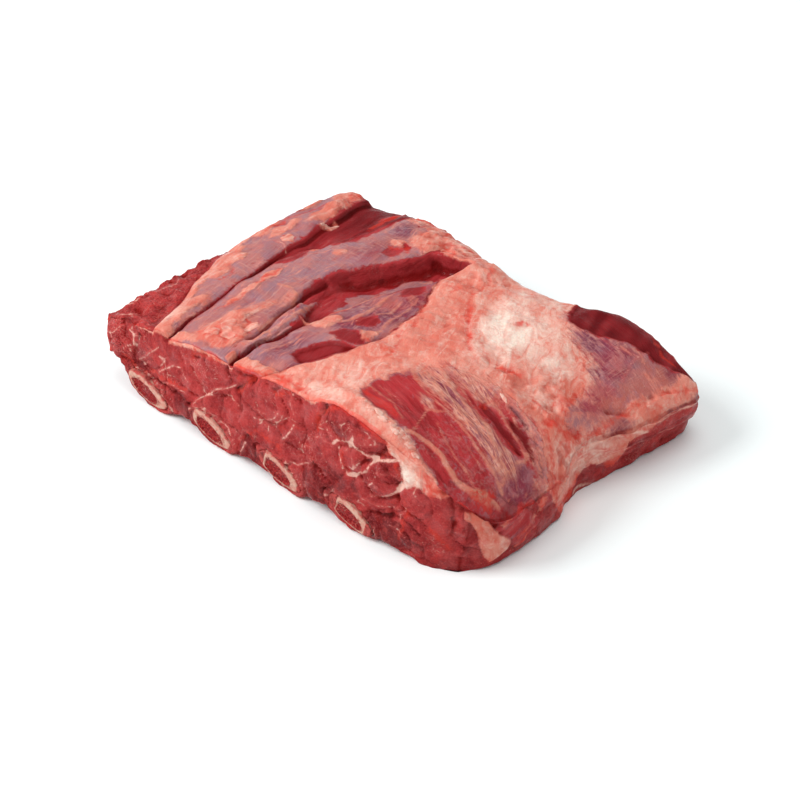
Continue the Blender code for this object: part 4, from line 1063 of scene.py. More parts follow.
    stain = np.where(on_wall, wall_stain, patches(x, y, STAIN_PATCHES)) + under * 0.4
    strip_blur = np.where(x < at["fat_left"] - 2.0, 0.7 * (1.0 - marks["rough"]), marks["blur"])
    spots = {
        "fat": np.clip(fat, -FAR, FAR),
        "skin": np.clip(skin, -6.0, 6.0),
        "dark": marks["dark"] * top_side,
        "cut": np.clip(np.maximum(cut, marks["rough"]), 0.0, 1.0) * upper * (1.0 - on_wall * ease(wall_fat + 0.5)),
        "rough": marks["rough"] * upper,
        "thread": np.clip(np.where(on_wall, np.where(here > 0.5, FAR, thread), top_thread), -3.0, FAR),
        "tear": np.clip(np.where(on_wall, tear, top_tear), -3.0, FAR),
        "strand": np.clip(np.where(on_wall, -6.0, marks["strand"] - FAR * under), -6.0, 4.0),
        "edge": np.clip(edge, -6.0, 3.0) * upper - 6.0 * under,
        # Painted shade: grooves between the bundles lower the tone
        "tone": np.clip(np.where(cut > 0.3, tone - 0.5 * groove + 0.3 * ease(roll), 0.0), -1.0, 1.0),
        "cream": np.clip(cream, 0.0, 1.0),
        "stain": np.clip(stain, 0.0, 1.3) * (1.0 - 0.8 * ease(wedge)),
        "tan": np.clip(patches(x, y, TAN_PATCHES), 0.0, 1.2) * top_side,
        "violet": np.clip(patches(x, y, VIOLET_PATCHES) + 0.3 * under + 0.4 * cut, 0.0, 1.2),
        "cover": np.where(marks["window"] > -2.0, 0.6, 0.88) * (1.0 - 0.38 * ease(patches(x, y, FILM_THIN))),
        "smooth": ease(roll / 2.0),
        "blur": np.where(on_wall, 0.9 * ease((wedge + 4.0) / 2.0), strip_blur),
        "string": np.clip(marks["string"], 0.0, 1.0) * top_side * ease((marks["window"] + 8.0) / 6.0),
    }
    ways = grain_ways(x, y, z, at, roll, diagonal, on_wall & (x > CORNER_SIDE))
    return np.stack([x, y, z], axis=1), spots, ways


def top_height(x, y, at, marks):
    """Height of the finished top at plan points."""
    lumps = 0.7 * swell(x, y, 0.0 * x, 26.0, 3) + 0.35 * swell(x, y, 0.0 * x, 13.0, 4) - 0.5
    return top_form(x, y) + top_relief(x, y, at) + lumps + top_detail(x, y, at, marks)


def hollows(values, sheet, reach):
    """How far each place of a sheet lies below the mean of the square about it, in the values' measure."""
    grid = values[sheet]
    padded = np.pad(grid, reach, mode="edge")
    sums = np.pad(padded.cumsum(0).cumsum(1), ((1, 0), (1, 0)))
    k = 2 * reach + 1
    mean = (sums[k:, k:] - sums[:-k, k:] - sums[k:, :-k] + sums[:-k, :-k]) / (k * k)
    return mean - grid


def across_columns(u, b):
    """Where each column stands, so that six of them run exactly along the strips' edges."""
    shares = np.cumsum((0,) + STRIP_COLUMNS) / sum(STRIP_COLUMNS) * 2.0 - 1.0
    a = u.copy()
    for _ in range(3):
        _, y = plate_points(a, b, np.ones_like(a))
        at = top_lines(y)
        left = line(LEFT_STATIONS, LEFT_REACH, y)
        stops = [np.full_like(u, -1.0)]
        for name in ("s1_left", "s1_right", "s2_left", "s2_right", "s4_left"):
            stops.append(np.maximum(at[name] / left, stops[-1] + 0.012))
        stops.append(np.full_like(u, 1.0))
        a = np.full_like(u, -1.0)
        for k in range(len(stops) - 1):
            t = np.clip((u - shares[k]) / (shares[k + 1] - shares[k]), 0.0, 1.0)
            a = np.where(u >= shares[k], stops[k] + t * (stops[k + 1] - stops[k]), a)
    return a


def block_faces(columns, rows, layers, coarse):
    """Closed skin of a block lattice: fine squares on the top and walls, squares three times as large below."""
    number = np.full((columns + 1, rows + 1, layers + 1), -1, dtype=np.int64)
    keep = np.zeros(number.shape, bool)
    keep[:, :, layers] = True
    keep[0, :, :] = keep[columns, :, :] = True
    keep[:, 0, :] = keep[:, rows, :] = True
    keep[::coarse, ::coarse, 0] = True
    number[keep] = np.arange(keep.sum())
    places = np.argwhere(keep).astype(float)
    b = 2.0 * places[:, 1] / rows - 1.0
    w = places[:, 2] / layers
    a = across_columns(2.0 * places[:, 0] / columns - 1.0, b)

    def squares(sheet):
        return np.stack([sheet[:-1, :-1], sheet[1:, :-1], sheet[1:, 1:], sheet[:-1, 1:]], axis=-1).reshape(-1, 4)

    faces = [squares(number[:, :, layers])]
    faces.append(squares(number[:, 0, :]))
    faces.append(squares(number[:, rows, :])[:, ::-1])
    faces.append(squares(number[columns, :, :]))
    faces.append(squares(number[0, :, :])[:, ::-1])
    base = number[:, :, 0]
    inner = base[coarse:columns - coarse + 1:coarse, coarse:rows - coarse + 1:coarse]
    faces.append(squares(inner)[:, ::-1])
    polygons = np.concatenate(faces).tolist()
    for i in range(0, columns, coarse):
        for j in range(0, rows, coarse):
            if 0 < i < columns - coarse and 0 < j < rows - coarse:
                continue
            ring = [base[i, j + k] for k in range(coarse)] + [base[i + k, j + coarse] for k in range(coarse)]
            ring += [base[i + coarse, j + coarse - k] for k in range(coarse)]
            ring += [base[i + coarse - k, j] for k in range(coarse)]
            polygons.append([int(v) for v in ring if v >= 0])
    sheets = (number[:, :, layers], number[:, 0, :], number[:, rows, :], number[columns, :, :], number[0, :, :])
    return a, b, w, polygons, sheets


def make_mesh(name, points, faces):
    """Mesh object from millimetre points and faces, linked to the scene."""
    mesh = bpy.data.meshes.new(name)
    mesh.from_pydata((np.asarray(points) * MM).tolist(), [], faces)
    mesh.polygons.foreach_set("use_smooth", [True] * len(mesh.polygons))
    mesh.update()
    piece = bpy.data.objects.new(name, mesh)
    bpy.context.scene.collection.objects.link(piece)
    return piece


def add_spots(piece, spots, ways=None):
    """Writes the marks onto the mesh as point attributes, and the ways of the grain as vector ones."""
    for name, values in spots.items():
        layer = piece.data.attributes.new(name, "FLOAT", "POINT")
        layer.data.foreach_set("value", np.asarray(values, np.float32))
    for name, vectors in (ways or {}).items():
        layer = piece.data.attributes.new(name, "FLOAT_VECTOR", "POINT")
        layer.data.foreach_set("vector", np.asarray(vectors, np.float32).ravel())


# ----------------------------------------------------------------- materials
class Nodes:
    """Short way to place and link shader nodes in one tree."""

    def __init__(self, tree):
        self.tree = tree

    def add(self, kind, **inputs):
        node = self.tree.nodes.new(kind)
        for key, value in inputs.items():
            if key.startswith("_"):
                setattr(node, key[1:], value)
            else:
                self.put(node, key.replace("_", " "), value)
        return node

    def put(self, node, key, value):
        if isinstance(value, Color):
            value = (*value, 1.0)
        socket = node.inputs[int(key)] if key.isdigit() else node.inputs[key]
        if isinstance(value, bpy.types.NodeSocket):
            self.tree.links.new(value, socket)
        else:
            socket.default_value = value

    def math(self, operation, a, b=0.0, clamp=False):
        node = self.tree.nodes.new("ShaderNodeMath")
        node.operation = operation
        node.use_clamp = clamp
        self.put(node, "0", a)
        self.put(node, "1", b)
        return node.outputs[0]

    def times(self, a, b, clamp=False):
        return self.math("MULTIPLY", a, b, clamp)

    def plus(self, a, b, clamp=False):
        return self.math("ADD", a, b, clamp)

    def minus(self, a, b, clamp=False):
        return self.math("SUBTRACT", a, b, clamp)

    def blend(self, factor, a, b, mode="MIX"):
        node = self.tree.nodes.new("ShaderNodeMix")
        node.data_type = "RGBA"
        node.blend_type = mode
        self.put(node, "0", factor)
        self.put(node, "6", a)
        self.put(node, "7", b)
        return node.outputs[2]

    def ramp(self, value, low, high, start=0.0, end=1.0):
        node = self.tree.nodes.new("ShaderNodeMapRange")
        node.interpolation_type = "SMOOTHSTEP"
        for k, v in enumerate((value, low, high, start, end)):
            self.put(node, str(k), v)
        return node.outputs[0]

    def tint(self, colour, to, value, low, high, most):
        """The colour with another over it, up to a share of most where the value passes from low to high."""
        return self.blend(self.times(self.ramp(value, low, high), most), colour, to)

    def noise(self, vector, scale, detail=3.0, rough=0.5, warp=0.0):
        node = self.add("ShaderNodeTexNoise", Vector=vector, Scale=scale, Detail=detail,
                        Roughness=rough, Distortion=warp)
        return node.outputs["Fac"]

    def fibres(self, vector, scale, detail, rough, warp):
        """Noise drawn out by a scale of its own along each axis."""
        return self.noise(self.stretch(vector, scale), 1.0, detail, rough, warp)

    def voronoi(self, vector, scale, feature="F1"):
        return self.add("ShaderNodeTexVoronoi", _feature=feature, Vector=vector, Scale=scale).outputs["Distance"]

    def turn(self, vector, degrees):
        turned = (0.0, 0.0, math.radians(degrees))
        return self.add("ShaderNodeMapping", Vector=vector, Rotation=turned).outputs[0]

    def stretch(self, vector, scale):
        return self.add("ShaderNodeMapping", Vector=vector, Scale=scale).outputs[0]

    def attribute(self, name, output="Fac"):
        node = self.tree.nodes.new("ShaderNodeAttribute")
        node.attribute_name = name
        return node.outputs[output]

    def place(self, group, **inputs):
        node = self.tree.nodes.new("ShaderNodeGroup")
        node.node_tree = group
        for key, value in inputs.items():
            self.put(node, key, value)
        return node.outputs


def make_group(name, vectors, numbers):
    """Empty shader group with vector and number inputs, a colour and a height output, and their nodes."""
    group = bpy.data.node_groups.new(name, "ShaderNodeTree")
    for socket in vectors:
        group.interface.new_socket(socket, in_out="INPUT", socket_type="NodeSocketVector")
    for socket in numbers:
        made = group.interface.new_socket(socket, in_out="INPUT", socket_type="NodeSocketFloat")
        made.default_value = 0.0
    group.interface.new_socket("Color", in_out="OUTPUT", socket_type="NodeSocketColor")
    group.interface.new_socket("Height", in_out="OUTPUT", socket_type="NodeSocketFloat")
    return group, Nodes(group), group.nodes.new("NodeGroupInput"), group.nodes.new("NodeGroupOutput")


def lean_group(colours):
    """Lean along the grain: long fibres in three reds, with a few pale threads between them."""
    group, n, given, out = make_group("lean_grain", ("Flow",), ("Dark",))
    flow = given.outputs["Flow"]
    coarse = n.fibres(flow, (0.22, 0.022, 0.22), 3.0, 0.5, 0.5)
    middle = n.fibres(flow, (0.7, 0.05, 0.7), 3.0, 0.55, 0.4)
    fine = n.fibres(flow, (2.2, 0.12, 2.2), 2.0, 0.6, 0.3)
    colour = n.blend(n.ramp(coarse, 0.28, 0.56), colours.lean_dark, colours.lean)
    colour = n.tint(colour, colours.lean_light, middle, 0.52, 0.74, 0.3)
    colour = n.tint(colour, colours.lean_light, fine, 0.52, 0.72, 0.22)
    colour = n.tint(colour, colours.lean_dark, fine, 0.46, 0.3, 0.25)
    thread = n.fibres(flow, (0.5, 0.03, 0.5), 2.0, 0.4, 0.8)
    thin = n.math("ABSOLUTE", n.minus(thread, 0.5))
    patch = n.ramp(n.noise(flow, 0.07, 2.0), 0.5, 0.64)
    mark = n.times(n.ramp(thin, 0.012, 0.003), n.times(patch, 0.4))
    colour = n.blend(mark, colour, colours.membrane)
    # Painted shade deep in the slots, pocket and grooves, and the darker kinds of lean, both go towards the near
    # black red
    colour = n.blend(given.outputs["Dark"], colour, colours.blood)
    n.put(out, "Color", colour)
    n.put(out, "Height", n.plus(n.times(middle, 0.6), n.times(fine, 0.35)))
    return group


def skin_group(colours):
    """Silverskin: a greyish film, finely hatched both ways, blue over dark meat and pink where it holds fat."""
    group, n, given, out = make_group("silverskin", ("Flow", "Place"), ("Violet", "Tan", "Stain", "Dark"))
    flow, place = given.outputs["Flow"], given.outputs["Place"]
    streak = n.fibres(flow, (1.1, 0.05, 0.6), 4.0, 0.62, 0.6)
    long_streak = n.fibres(flow, (0.35, 0.02, 0.3), 4.0, 0.6, 0.9)
    cross = n.fibres(flow, (0.10, 1.5, 0.5), 2.0, 0.5, 0.2)
    cloud = n.noise(place, 0.085, 4.0, 0.6, 0.5)
    warm = n.fibres(flow, (0.14, 0.06, 0.14), 5.0, 0.62, 0.9)
    colour = n.blend(n.ramp(cloud, 0.38, 0.62), colours.silver, colours.membrane)
    mottle = n.noise(place, 0.13, 5.0, 0.64, 0.8)
    mixed = n.plus(n.times(mottle, 0.65), n.times(long_streak, 0.35))
    blue = n.times(given.outputs["Violet"], n.ramp(mixed, 0.38, 0.56))
    colour = n.blend(n.times(blue, 0.85, clamp=True), colour, colours.violet)
    colour = n.tint(colour, colours.lean, mixed, 0.54, 0.66, 0.35)
    brown = n.times(given.outputs["Tan"], n.ramp(mixed, 0.62, 0.44, 0.35, 1.0))
    colour = n.blend(n.times(brown, 0.8, clamp=True), colour, colours.tan)
    colour = n.tint(colour, colours.fat, warm, 0.56, 0.68, 0.65)
    red = n.times(n.ramp(warm, 0.64, 0.74), n.plus(n.times(given.outputs["Stain"], 0.6), 0.25))
    colour = n.blend(red, colour, colours.stain)
    colour = n.tint(colour, colours.thread, streak, 0.54, 0.72, 0.28)
    colour = n.tint(colour, colours.violet, streak, 0.44, 0.30, 0.16)
    some = n.ramp(n.noise(place, 0.07, 2.0), 0.42, 0.6)
    colour = n.blend(n.times(n.times(n.ramp(cross, 0.52, 0.66), some), 0.22), colour, colours.thread)
    # Painted shade: the film goes bluish dark deep in the slots and grooves, and over the darker lean
    colour = n.blend(n.times(given.outputs["Dark"], 0.75), colour, colours.dusk)
    n.put(out, "Color", colour)
    n.put(out, "Height", n.plus(n.times(streak, 0.8), n.times(cross, 0.35)))
    return group


def fat_group(colours):
    """Fat: soft lobules from salmon to cream, redder in the creases, with blood stains and fine veins."""
    group, n, given, out = make_group("beef_fat", ("Place", "Flow"), ("Cream", "Stain"))
    place = given.outputs["Place"]
    cloud = n.noise(place, 0.055, 4.0, 0.58, 0.4)
    mottle = n.noise(place, 0.20, 5.0, 0.66, 0.9)
    fine = n.noise(place, 0.95, 4.0, 0.6, 0.4)
    warp = n.add("ShaderNodeVectorMath", _operation="ADD")
    n.put(warp, "0", place)
    bend = n.add("ShaderNodeTexNoise", Vector=place, Scale=0.22, Detail=3.0)
    scaled = n.add("ShaderNodeVectorMath", _operation="SCALE")
    n.put(scaled, "0", bend.outputs["Color"])
    n.put(scaled, "Scale", 7.0)
    n.put(warp, "1", scaled.outputs[0])
    lobule = n.voronoi(warp.outputs[0], 0.30, "SMOOTH_F1")
    crease = n.voronoi(warp.outputs[0], 0.17, "DISTANCE_TO_EDGE")
    brush = n.fibres(given.outputs["Flow"], (0.16, 0.045, 0.16), 5.0, 0.64, 1.3)
    hair = n.fibres(given.outputs["Flow"], (1.5, 0.10, 1.0), 3.0, 0.6, 0.5)
    colour = n.blend(n.ramp(cloud, 0.36, 0.62), colours.fat_deep, colours.fat)
    colour = n.tint(colour, colours.fat_deep, brush, 0.5, 0.34, 0.3)
    broken = n.ramp(n.fibres(given.outputs["Flow"], (0.11, 0.06, 0.11), 4.0, 0.6, 0.8), 0.36, 0.6, 0.62, 1.0)
    lift = n.plus(n.times(given.outputs["Cream"], broken),
                  n.times(n.ramp(mottle, 0.5, 0.68), 0.2))
    lift = n.plus(lift, n.times(n.ramp(brush, 0.5, 0.66), 0.22))
    lift = n.minus(lift, n.times(n.ramp(brush, 0.5, 0.36), 0.26), clamp=True)
    colour = n.blend(lift, colour, colours.cream)
    plain = n.minus(1.0, n.times(given.outputs["Cream"], 0.6), clamp=True)
    pink = n.times(n.ramp(crease, 0.07, 0.0), n.times(plain, 0.22))
    colour = n.blend(pink, colour, colours.fat_deep)
    dull = n.times(n.ramp(mottle, 0.45, 0.32), 0.35)
    colour = n.blend(n.times(dull, plain), colour, colours.fat_deep)
    colour = n.tint(colour, colours.cream, hair, 0.56, 0.7, 0.12)
    warm = n.fibres(given.outputs["Flow"], (0.13, 0.042, 0.13), 5.0, 0.66, 1.8)
    red = n.plus(n.times(given.outputs["Stain"], 0.45), n.times(plain, 0.3))
    colour = n.blend(n.times(n.ramp(warm, 0.54, 0.70), red, clamp=True), colour, colours.stain)
    blot = n.plus(n.times(given.outputs["Stain"], 0.34), n.noise(place, 0.16, 4.0, 0.62, 0.9))
    colour = n.tint(colour, colours.stain, blot, 0.58, 1.0, 0.85)
    vein = n.math("ABSOLUTE", n.minus(n.noise(place, 0.12, 5.0, 0.6, 1.4), 0.5))
    some = n.ramp(n.noise(place, 0.05, 2.0), 0.46, 0.6)
    colour = n.blend(n.times(n.ramp(vein, 0.028, 0.002), n.times(some, 0.3)), colour, colours.stain)
    n.put(out, "Color", colour)
    height = n.plus(n.times(n.minus(1.0, lobule), 0.6), n.times(mottle, 0.45))
    height = n.plus(height, n.times(brush, 0.7))
    n.put(out, "Height", n.plus(height, n.times(fine, 0.1)))
    return group


def cut_group(colours):
    """Meat cut across the grain: fine bundles, darker and lighter patches, flecks and hair-thin marbling."""
    group, n, given, out = make_group("cut_lean", ("Place",), ("Tone", "Rough"))
    place = given.outputs["Place"]
    cloud = n.noise(place, 0.07, 4.0, 0.6, 0.6)
    bundle = n.noise(place, 0.42, 5.0, 0.7, 0.7)
    fine = n.noise(place, 1.6, 3.0, 0.6, 0.3)
    grain = n.voronoi(place, 0.75, "F1")
    tone = n.plus(n.ramp(cloud, 0.3, 0.68), n.times(given.outputs["Tone"], 0.6), clamp=True)
    colour = n.blend(tone, colours.cut_dark, colours.cut)
    colour = n.blend(n.ramp(given.outputs["Tone"], -0.3, -0.95, 0.0, 0.82), colour, colours.blood)
    colour = n.tint(colour, colours.cut_light, bundle, 0.5, 0.72, 0.45)
    colour = n.tint(colour, colours.blood, bundle, 0.46, 0.3, 0.4)
    colour = n.tint(colour, colours.cut_light, fine, 0.52, 0.72, 0.4)
    colour = n.tint(colour, colours.cut_dark, fine, 0.47, 0.3, 0.3)
    # Painted shade: the pits of the rough cut, low in the bump, are darkened
    pit_shade = n.times(n.ramp(grain, 0.35, 0.1), n.times(given.outputs["Rough"], 0.75))
    colour = n.blend(pit_shade, colour, colours.blood)
    warm = n.ramp(n.noise(place, 0.13, 4.0, 0.6, 0.6), 0.54, 0.68)
    colour = n.blend(n.times(warm, 0.18), colour, colours.stain)
    wisp = n.math("ABSOLUTE", n.minus(n.noise(place, 0.15, 3.0, 0.5, 1.6), 0.5))
    some = n.ramp(n.noise(place, 0.06, 3.0, 0.6), 0.48, 0.58)
    marble = n.times(n.ramp(wisp, 0.008, 0.001), n.times(some, 0.42))
    fleck = n.times(n.ramp(n.noise(place, 0.8, 2.0, 0.5, 0.8), 0.70, 0.77), 0.38)
    pale = n.times(n.math("MAXIMUM", marble, fleck), n.ramp(given.outputs["Tone"], -0.75, -0.2, 0.25, 1.0))
    colour = n.blend(pale, colour, colours.thread)
    n.put(out, "Color", colour)
    height = n.plus(n.times(bundle, 1.0), n.times(grain, n.plus(0.2, n.times(given.outputs["Rough"], 0.9))))
    n.put(out, "Height", n.plus(height, n.times(fine, 0.3)))
    return group


def start_material(name):
    """New material with its shader, its place in millimetres and the node helper."""
    material = bpy.data.materials.new(name)
    material.use_nodes = True
    n = Nodes(material.node_tree)
    shader = material.node_tree.nodes["Principled BSDF"]
    coords = n.add("ShaderNodeTexCoord").outputs["Object"]
    place = n.stretch(coords, (1000.0, 1000.0, 1000.0))
    return material, n, shader, place


def finish_material(n, shader, place, colour, height, rough, wet, depth):
    """Wet look: colour, roughness broken by noise, a patchy film of moisture and one bump."""
    n.put(shader, "Base Color", colour)
    gloss = n.noise(place, 0.35, 4.0, 0.6, 0.4)
    n.put(shader, "Roughness", n.plus(rough, n.times(n.minus(gloss, 0.5), 0.35), clamp=True))
    damp = n.ramp(n.noise(place, 0.14, 4.0), 0.44, 0.64)
    n.put(shader, "Coat Weight", n.times(damp, n.minus(wet, n.times(n.attribute("dark"), 0.5)), clamp=True))
    shader.inputs["Coat Roughness"].default_value = 0.09
    shader.inputs["Coat IOR"].default_value = 1.33
    shader.inputs["IOR"].default_value = 1.22
    shader.inputs["Specular IOR Level"].default_value = 0.1
    shader.inputs["Subsurface Weight"].default_value = 0.1
    shader.inputs["Subsurface Radius"].default_value = (1.0, 0.3, 0.2)
    shader.inputs["Subsurface Scale"].default_value = 0.002
    bump = n.add("ShaderNodeBump", Strength=0.75, Distance=depth, Height=height)
    n.put(shader, "Normal", bump.outputs["Normal"])


def plate_material(groups, colours):
    """The plate: lean, silverskin, fat and cut meat, laid by the mesh's signed distances with ragged borders."""
    material, n, shader, place = start_material("raw_beef")
    flow = n.attribute("flow", "Vector")
    ragged = n.minus(n.noise(place, 0.30, 5.0, 0.66, 0.9), 0.5)
    stain, rough = n.attribute("stain"), n.attribute("rough")
    lean = n.place(groups["lean"], Flow=flow, Dark=n.attribute("dark"))
    skin = n.place(groups["skin"], Flow=flow, Place=place, Violet=n.attribute("violet"), Tan=n.attribute("tan"),
        Stain=stain, Dark=n.attribute("dark"))
    fat = n.place(groups["fat"], Place=place, Flow=n.attribute("drift", "Vector"), Cream=n.attribute("cream"),
        Stain=stain)
    cut = n.place(groups["cut"], Place=place, Tone=n.attribute("tone"), Rough=rough)
    skin_mask = n.ramp(n.plus(n.attribute("skin"), n.times(ragged, 5.5)), -0.5, 1.5)
    skin_mask = n.times(skin_mask, n.attribute("cover"))
    tame = n.minus(6.0, n.times(n.attribute("blur"), 4.2))
    streaky = n.minus(n.fibres(flow, (0.3, 0.03, 0.2), 4.0, 0.6, 0.5), 0.5)
    streaky = n.times(n.times(streaky, n.attribute("blur")), 4.0)
    border = n.plus(n.times(ragged, tame), streaky)
    fat_mask = n.ramp(n.plus(n.attribute("fat"), border), -0.9, 1.1, 0.0, 0.97)
    cut_mask = n.ramp(n.plus(n.attribute("cut"), n.times(ragged, 0.6)), 0.42, 0.6)
    cut_mask = n.times(cut_mask, n.minus(1.0, n.times(n.attribute("smooth"), 0.75)))
    cut_mask = n.times(cut_mask, n.minus(1.0, n.times(fat_mask, 0.9)))
    colour = n.blend(skin_mask, lean["Color"], skin["Color"])
    fibre = n.fibres(n.turn(flow, 7.0), (0.24, 0.018, 0.03), 4.0, 0.6, 0.9)
    fibre = n.math("ABSOLUTE", n.minus(fibre, 0.5))
    other = n.fibres(n.turn(flow, -13.0), (0.30, 0.024, 0.03), 4.0, 0.6, 0.7)
    fibre = n.math("MINIMUM", fibre, n.math("ABSOLUTE", n.minus(other, 0.52)))
    tuft = n.ramp(n.fibres(flow, (0.16, 0.045, 0.04), 6.0, 0.72, 0.5), 0.5, 0.64)
    string = n.ramp(n.attribute("string"), 0.05, 0.7)
    dim = n.times(n.ramp(n.fibres(flow, (0.4, 0.05, 0.4), 4.0, 0.6, 0.6), 0.62, 0.42), n.times(string, 0.55))
    colour = n.blend(dim, colour, n.blend(0.4, colours.violet, colours.lean_dark))
    cords = n.times(n.math("MAXIMUM", n.ramp(fibre, 0.065, 0.015), n.times(tuft, 0.6)), string)
    mixed = n.blend(0.45, colours.strand, colours.thread)
    pale = n.blend(n.ramp(n.noise(place, 0.3, 4.0, 0.6), 0.42, 0.62), colours.strand, mixed)
    colour = n.blend(n.times(cords, 0.88), colour, pale)
    colour = n.blend(fat_mask, colour, fat["Color"])
    colour = n.blend(cut_mask, colour, cut["Color"])
    cord = n.ramp(n.plus(n.attribute("strand"), n.times(ragged, 1.2)), -0.7, 0.7, 0.0, 0.85)
    tan = n.blend(n.ramp(n.noise(place, 0.5, 4.0, 0.6), 0.4, 0.65), colours.strand, fat["Color"])
    colour = n.blend(cord, colour, tan)

    # Painted shade: hollows of the mesh are darkened by the hollow tint, a little less on fat
    hollow = n.plus(n.attribute("hollow"), n.times(ragged, 0.3))
    pooled = n.blend(1.0, colour, colours.pooled, "MULTIPLY")
    deep = n.times(n.ramp(hollow, 0.05, 0.9), n.minus(0.85, n.times(fat_mask, 0.35)))
    colour = n.blend(deep, colour, pooled)
    tear = n.plus(n.attribute("tear"), n.times(ragged, 6.0))
    colour = n.tint(colour, colours.stain, tear, 1.5, -1.0, 0.62)
    # Red of the trimmed edges, and the painted highlight along the valley's ridge
    edge = n.plus(n.attribute("edge"), n.times(ragged, 4.5))
    colour = n.tint(colour, colours.edge_red, edge, 0.0, 1.8, 0.5)
    near = n.plus(n.attribute("thread"), n.times(n.minus(n.noise(place, 0.5, 4.0, 0.62), 0.5), 1.0))
    colour = n.tint(colour, colours.cut_light, near, 1.5, 0.1, 0.3)
    colour = n.tint(colour, colours.thread, near, 0.4, -0.35, 0.85)

    height = n.times(lean["Height"], n.minus(1.0, fat_mask))
    height = n.plus(height, n.times(skin["Height"], skin_mask))
    height = n.plus(height, n.times(fat["Height"], fat_mask))
    height = n.plus(height, n.times(cut["Height"], cut_mask))
    finish_material(n, shader, place, colour, height, 0.40, 0.5, 0.0009)
    return material


def bone_material(colours):
    """Sawn rib: pale rim, dark spongy middle by the mesh's ring mark, pinkish skin along its length."""
    material, n, shader, place = start_material("rib_bone")
    wobble = n.times(n.minus(n.noise(place, 0.42, 5.0, 0.7, 0.8), 0.5), 0.85)
    ring = n.plus(n.attribute("ring"), wobble)
    sponge = n.voronoi(place, 1.1, "F1")
    pores = n.ramp(n.plus(n.times(sponge, 0.7), n.times(n.noise(place, 1.0, 4.0, 0.7), 0.7)), 0.45, 0.95)
    marrow = n.blend(pores, colours.marrow, colours.sponge)
    cloud = n.noise(place, 0.22, 5.0, 0.66)
    rim = n.blend(n.times(n.ramp(cloud, 0.42, 0.66), 0.8), colours.bone, colours.bone_pink)
    spots = n.noise(place, 0.9, 4.0, 0.66, 0.5)
    marrow = n.tint(marrow, colours.marrow, spots, 0.48, 0.38, 0.8)
    marrow = n.tint(marrow, rim, spots, 0.56, 0.68, 0.4)
    bled = n.times(n.ramp(n.noise(place, 0.3, 5.0, 0.7, 0.7), 0.5, 0.66), 0.45)
    rim = n.blend(bled, rim, colours.stain)
    colour = n.blend(n.ramp(ring, 0.60, 0.84), marrow, rim)
    flesh = n.plus(n.attribute("ring"), n.times(n.minus(n.noise(place, 0.2, 4.0, 0.6), 0.5), 0.42))
    muscle = n.blend(n.ramp(n.noise(place, 0.4, 5.0, 0.7, 0.7), 0.36, 0.62), colours.marrow, colours.stain)
    colour = n.blend(n.times(n.ramp(flesh, 0.92, 1.03), 0.94), colour, muscle)
    height = n.plus(n.times(sponge, n.ramp(ring, 0.75, 0.6)), n.times(cloud, 0.3))
    finish_material(n, shader, place, colour, height, 0.42, 0.4, 0.0006)
    return material


def bit_material(name, group, **inputs):
    """Loose bits of fat or membrane: the same fat as on the plate."""
    material, n, shader, place = start_material(name)
    made = n.place(group, Place=place, Flow=place, **inputs)
    finish_material(n, shader, place, made["Color"], made["Height"], 0.36, 0.6, 0.0004)
    return material


# -------------------------------------------------------------------- pieces
def rib_points(index, around, settings):
    """A rib: ovals along its line, closed by rings that run in to the middle of each sawn end.

    Each ring is the oval shrunk by a share r. The end sinks a little inside the
    hard rim, where the spongy middle is, and the edge of the rim is rounded.
    """
    angle = np.linspace(0.0, 2.0 * math.pi, around, endpoint=False)
    tilt = math.radians(RIB_TILT)
    shares = np.array(RIB_RINGS)
    sink = np.where(shares < SPONGE_SHARE, settings.marrow_sink * (1.0 - 0.25 * shares), 0.0)
    sink = sink + 0.35 * ease((shares - 0.93) / 0.07)
    stops = np.linspace(-0.985, 0.985, 40)
    path = [(-1.0, s, k) for s, k in zip(shares, sink)] + [(t, 1.0, 0.0) for t in stops]
    path += [(1.0, s, k) for s, k in zip(shares[::-1], sink[::-1])]
    rings = []
    marks = []
    for t, share, k in path:
        wave = 1.0 + 0.02 * np.sin(3.0 * angle + index) + 0.015 * np.sin(5.0 * angle + 2.0 * index)
        squeeze = 1.0 - 0.12 * np.cos(angle)
        r = max(share, 0.001)
        px = RIB_HALF[0] * np.cos(angle) * wave * r
        py = RIB_HALF[1] * np.sin(angle) * squeeze * wave * r
        px = px - 2.4 * (1.0 - r)
        py = py - 2.6 * (1.0 - r)
        y = np.full(around, t * settings.rib_reach - math.copysign(k, t) * (abs(t) == 1.0))
        across = px * math.cos(tilt) - py * math.sin(tilt)
        upward = px * math.sin(tilt) + py * math.cos(tilt)
        rings.append(np.stack([rib_middle(index, y) + across, y, RIB_CENTRE_HEIGHT + upward], axis=1))
        mark = share + 0.12 * share * hump((share - 0.6) / 0.4) * (1.4 * np.sin(angle) + 0.7 * np.cos(angle))
        mark = mark + 0.13 * ease((share - 0.86) / 0.08) * ease(-0.75 * np.cos(angle) - 0.75 * np.sin(angle))
        shown, long = RIB_SHOWN[index]
        beyond = (np.abs(px - shown) / (RIB_HALF[0] * long) - 0.86) / 0.14
        mark = np.maximum(mark, np.minimum(0.66 + 0.5 * beyond, 1.3)) if long < 1.0 else mark
        marks.append(mark if abs(t) == 1.0 else 1.0 + 0.0 * angle)
    rings = np.array(rings)
    sponge = np.array(marks)[..., None] < SPONGE_SHARE
    pits = swell(rings[..., 0:1], rings[..., 1:2], rings[..., 2:3], 2.2, 81)
    rings[..., 1:2] += np.where(sponge, 0.18 * pits, 0.0)
    return rings, np.array(marks)


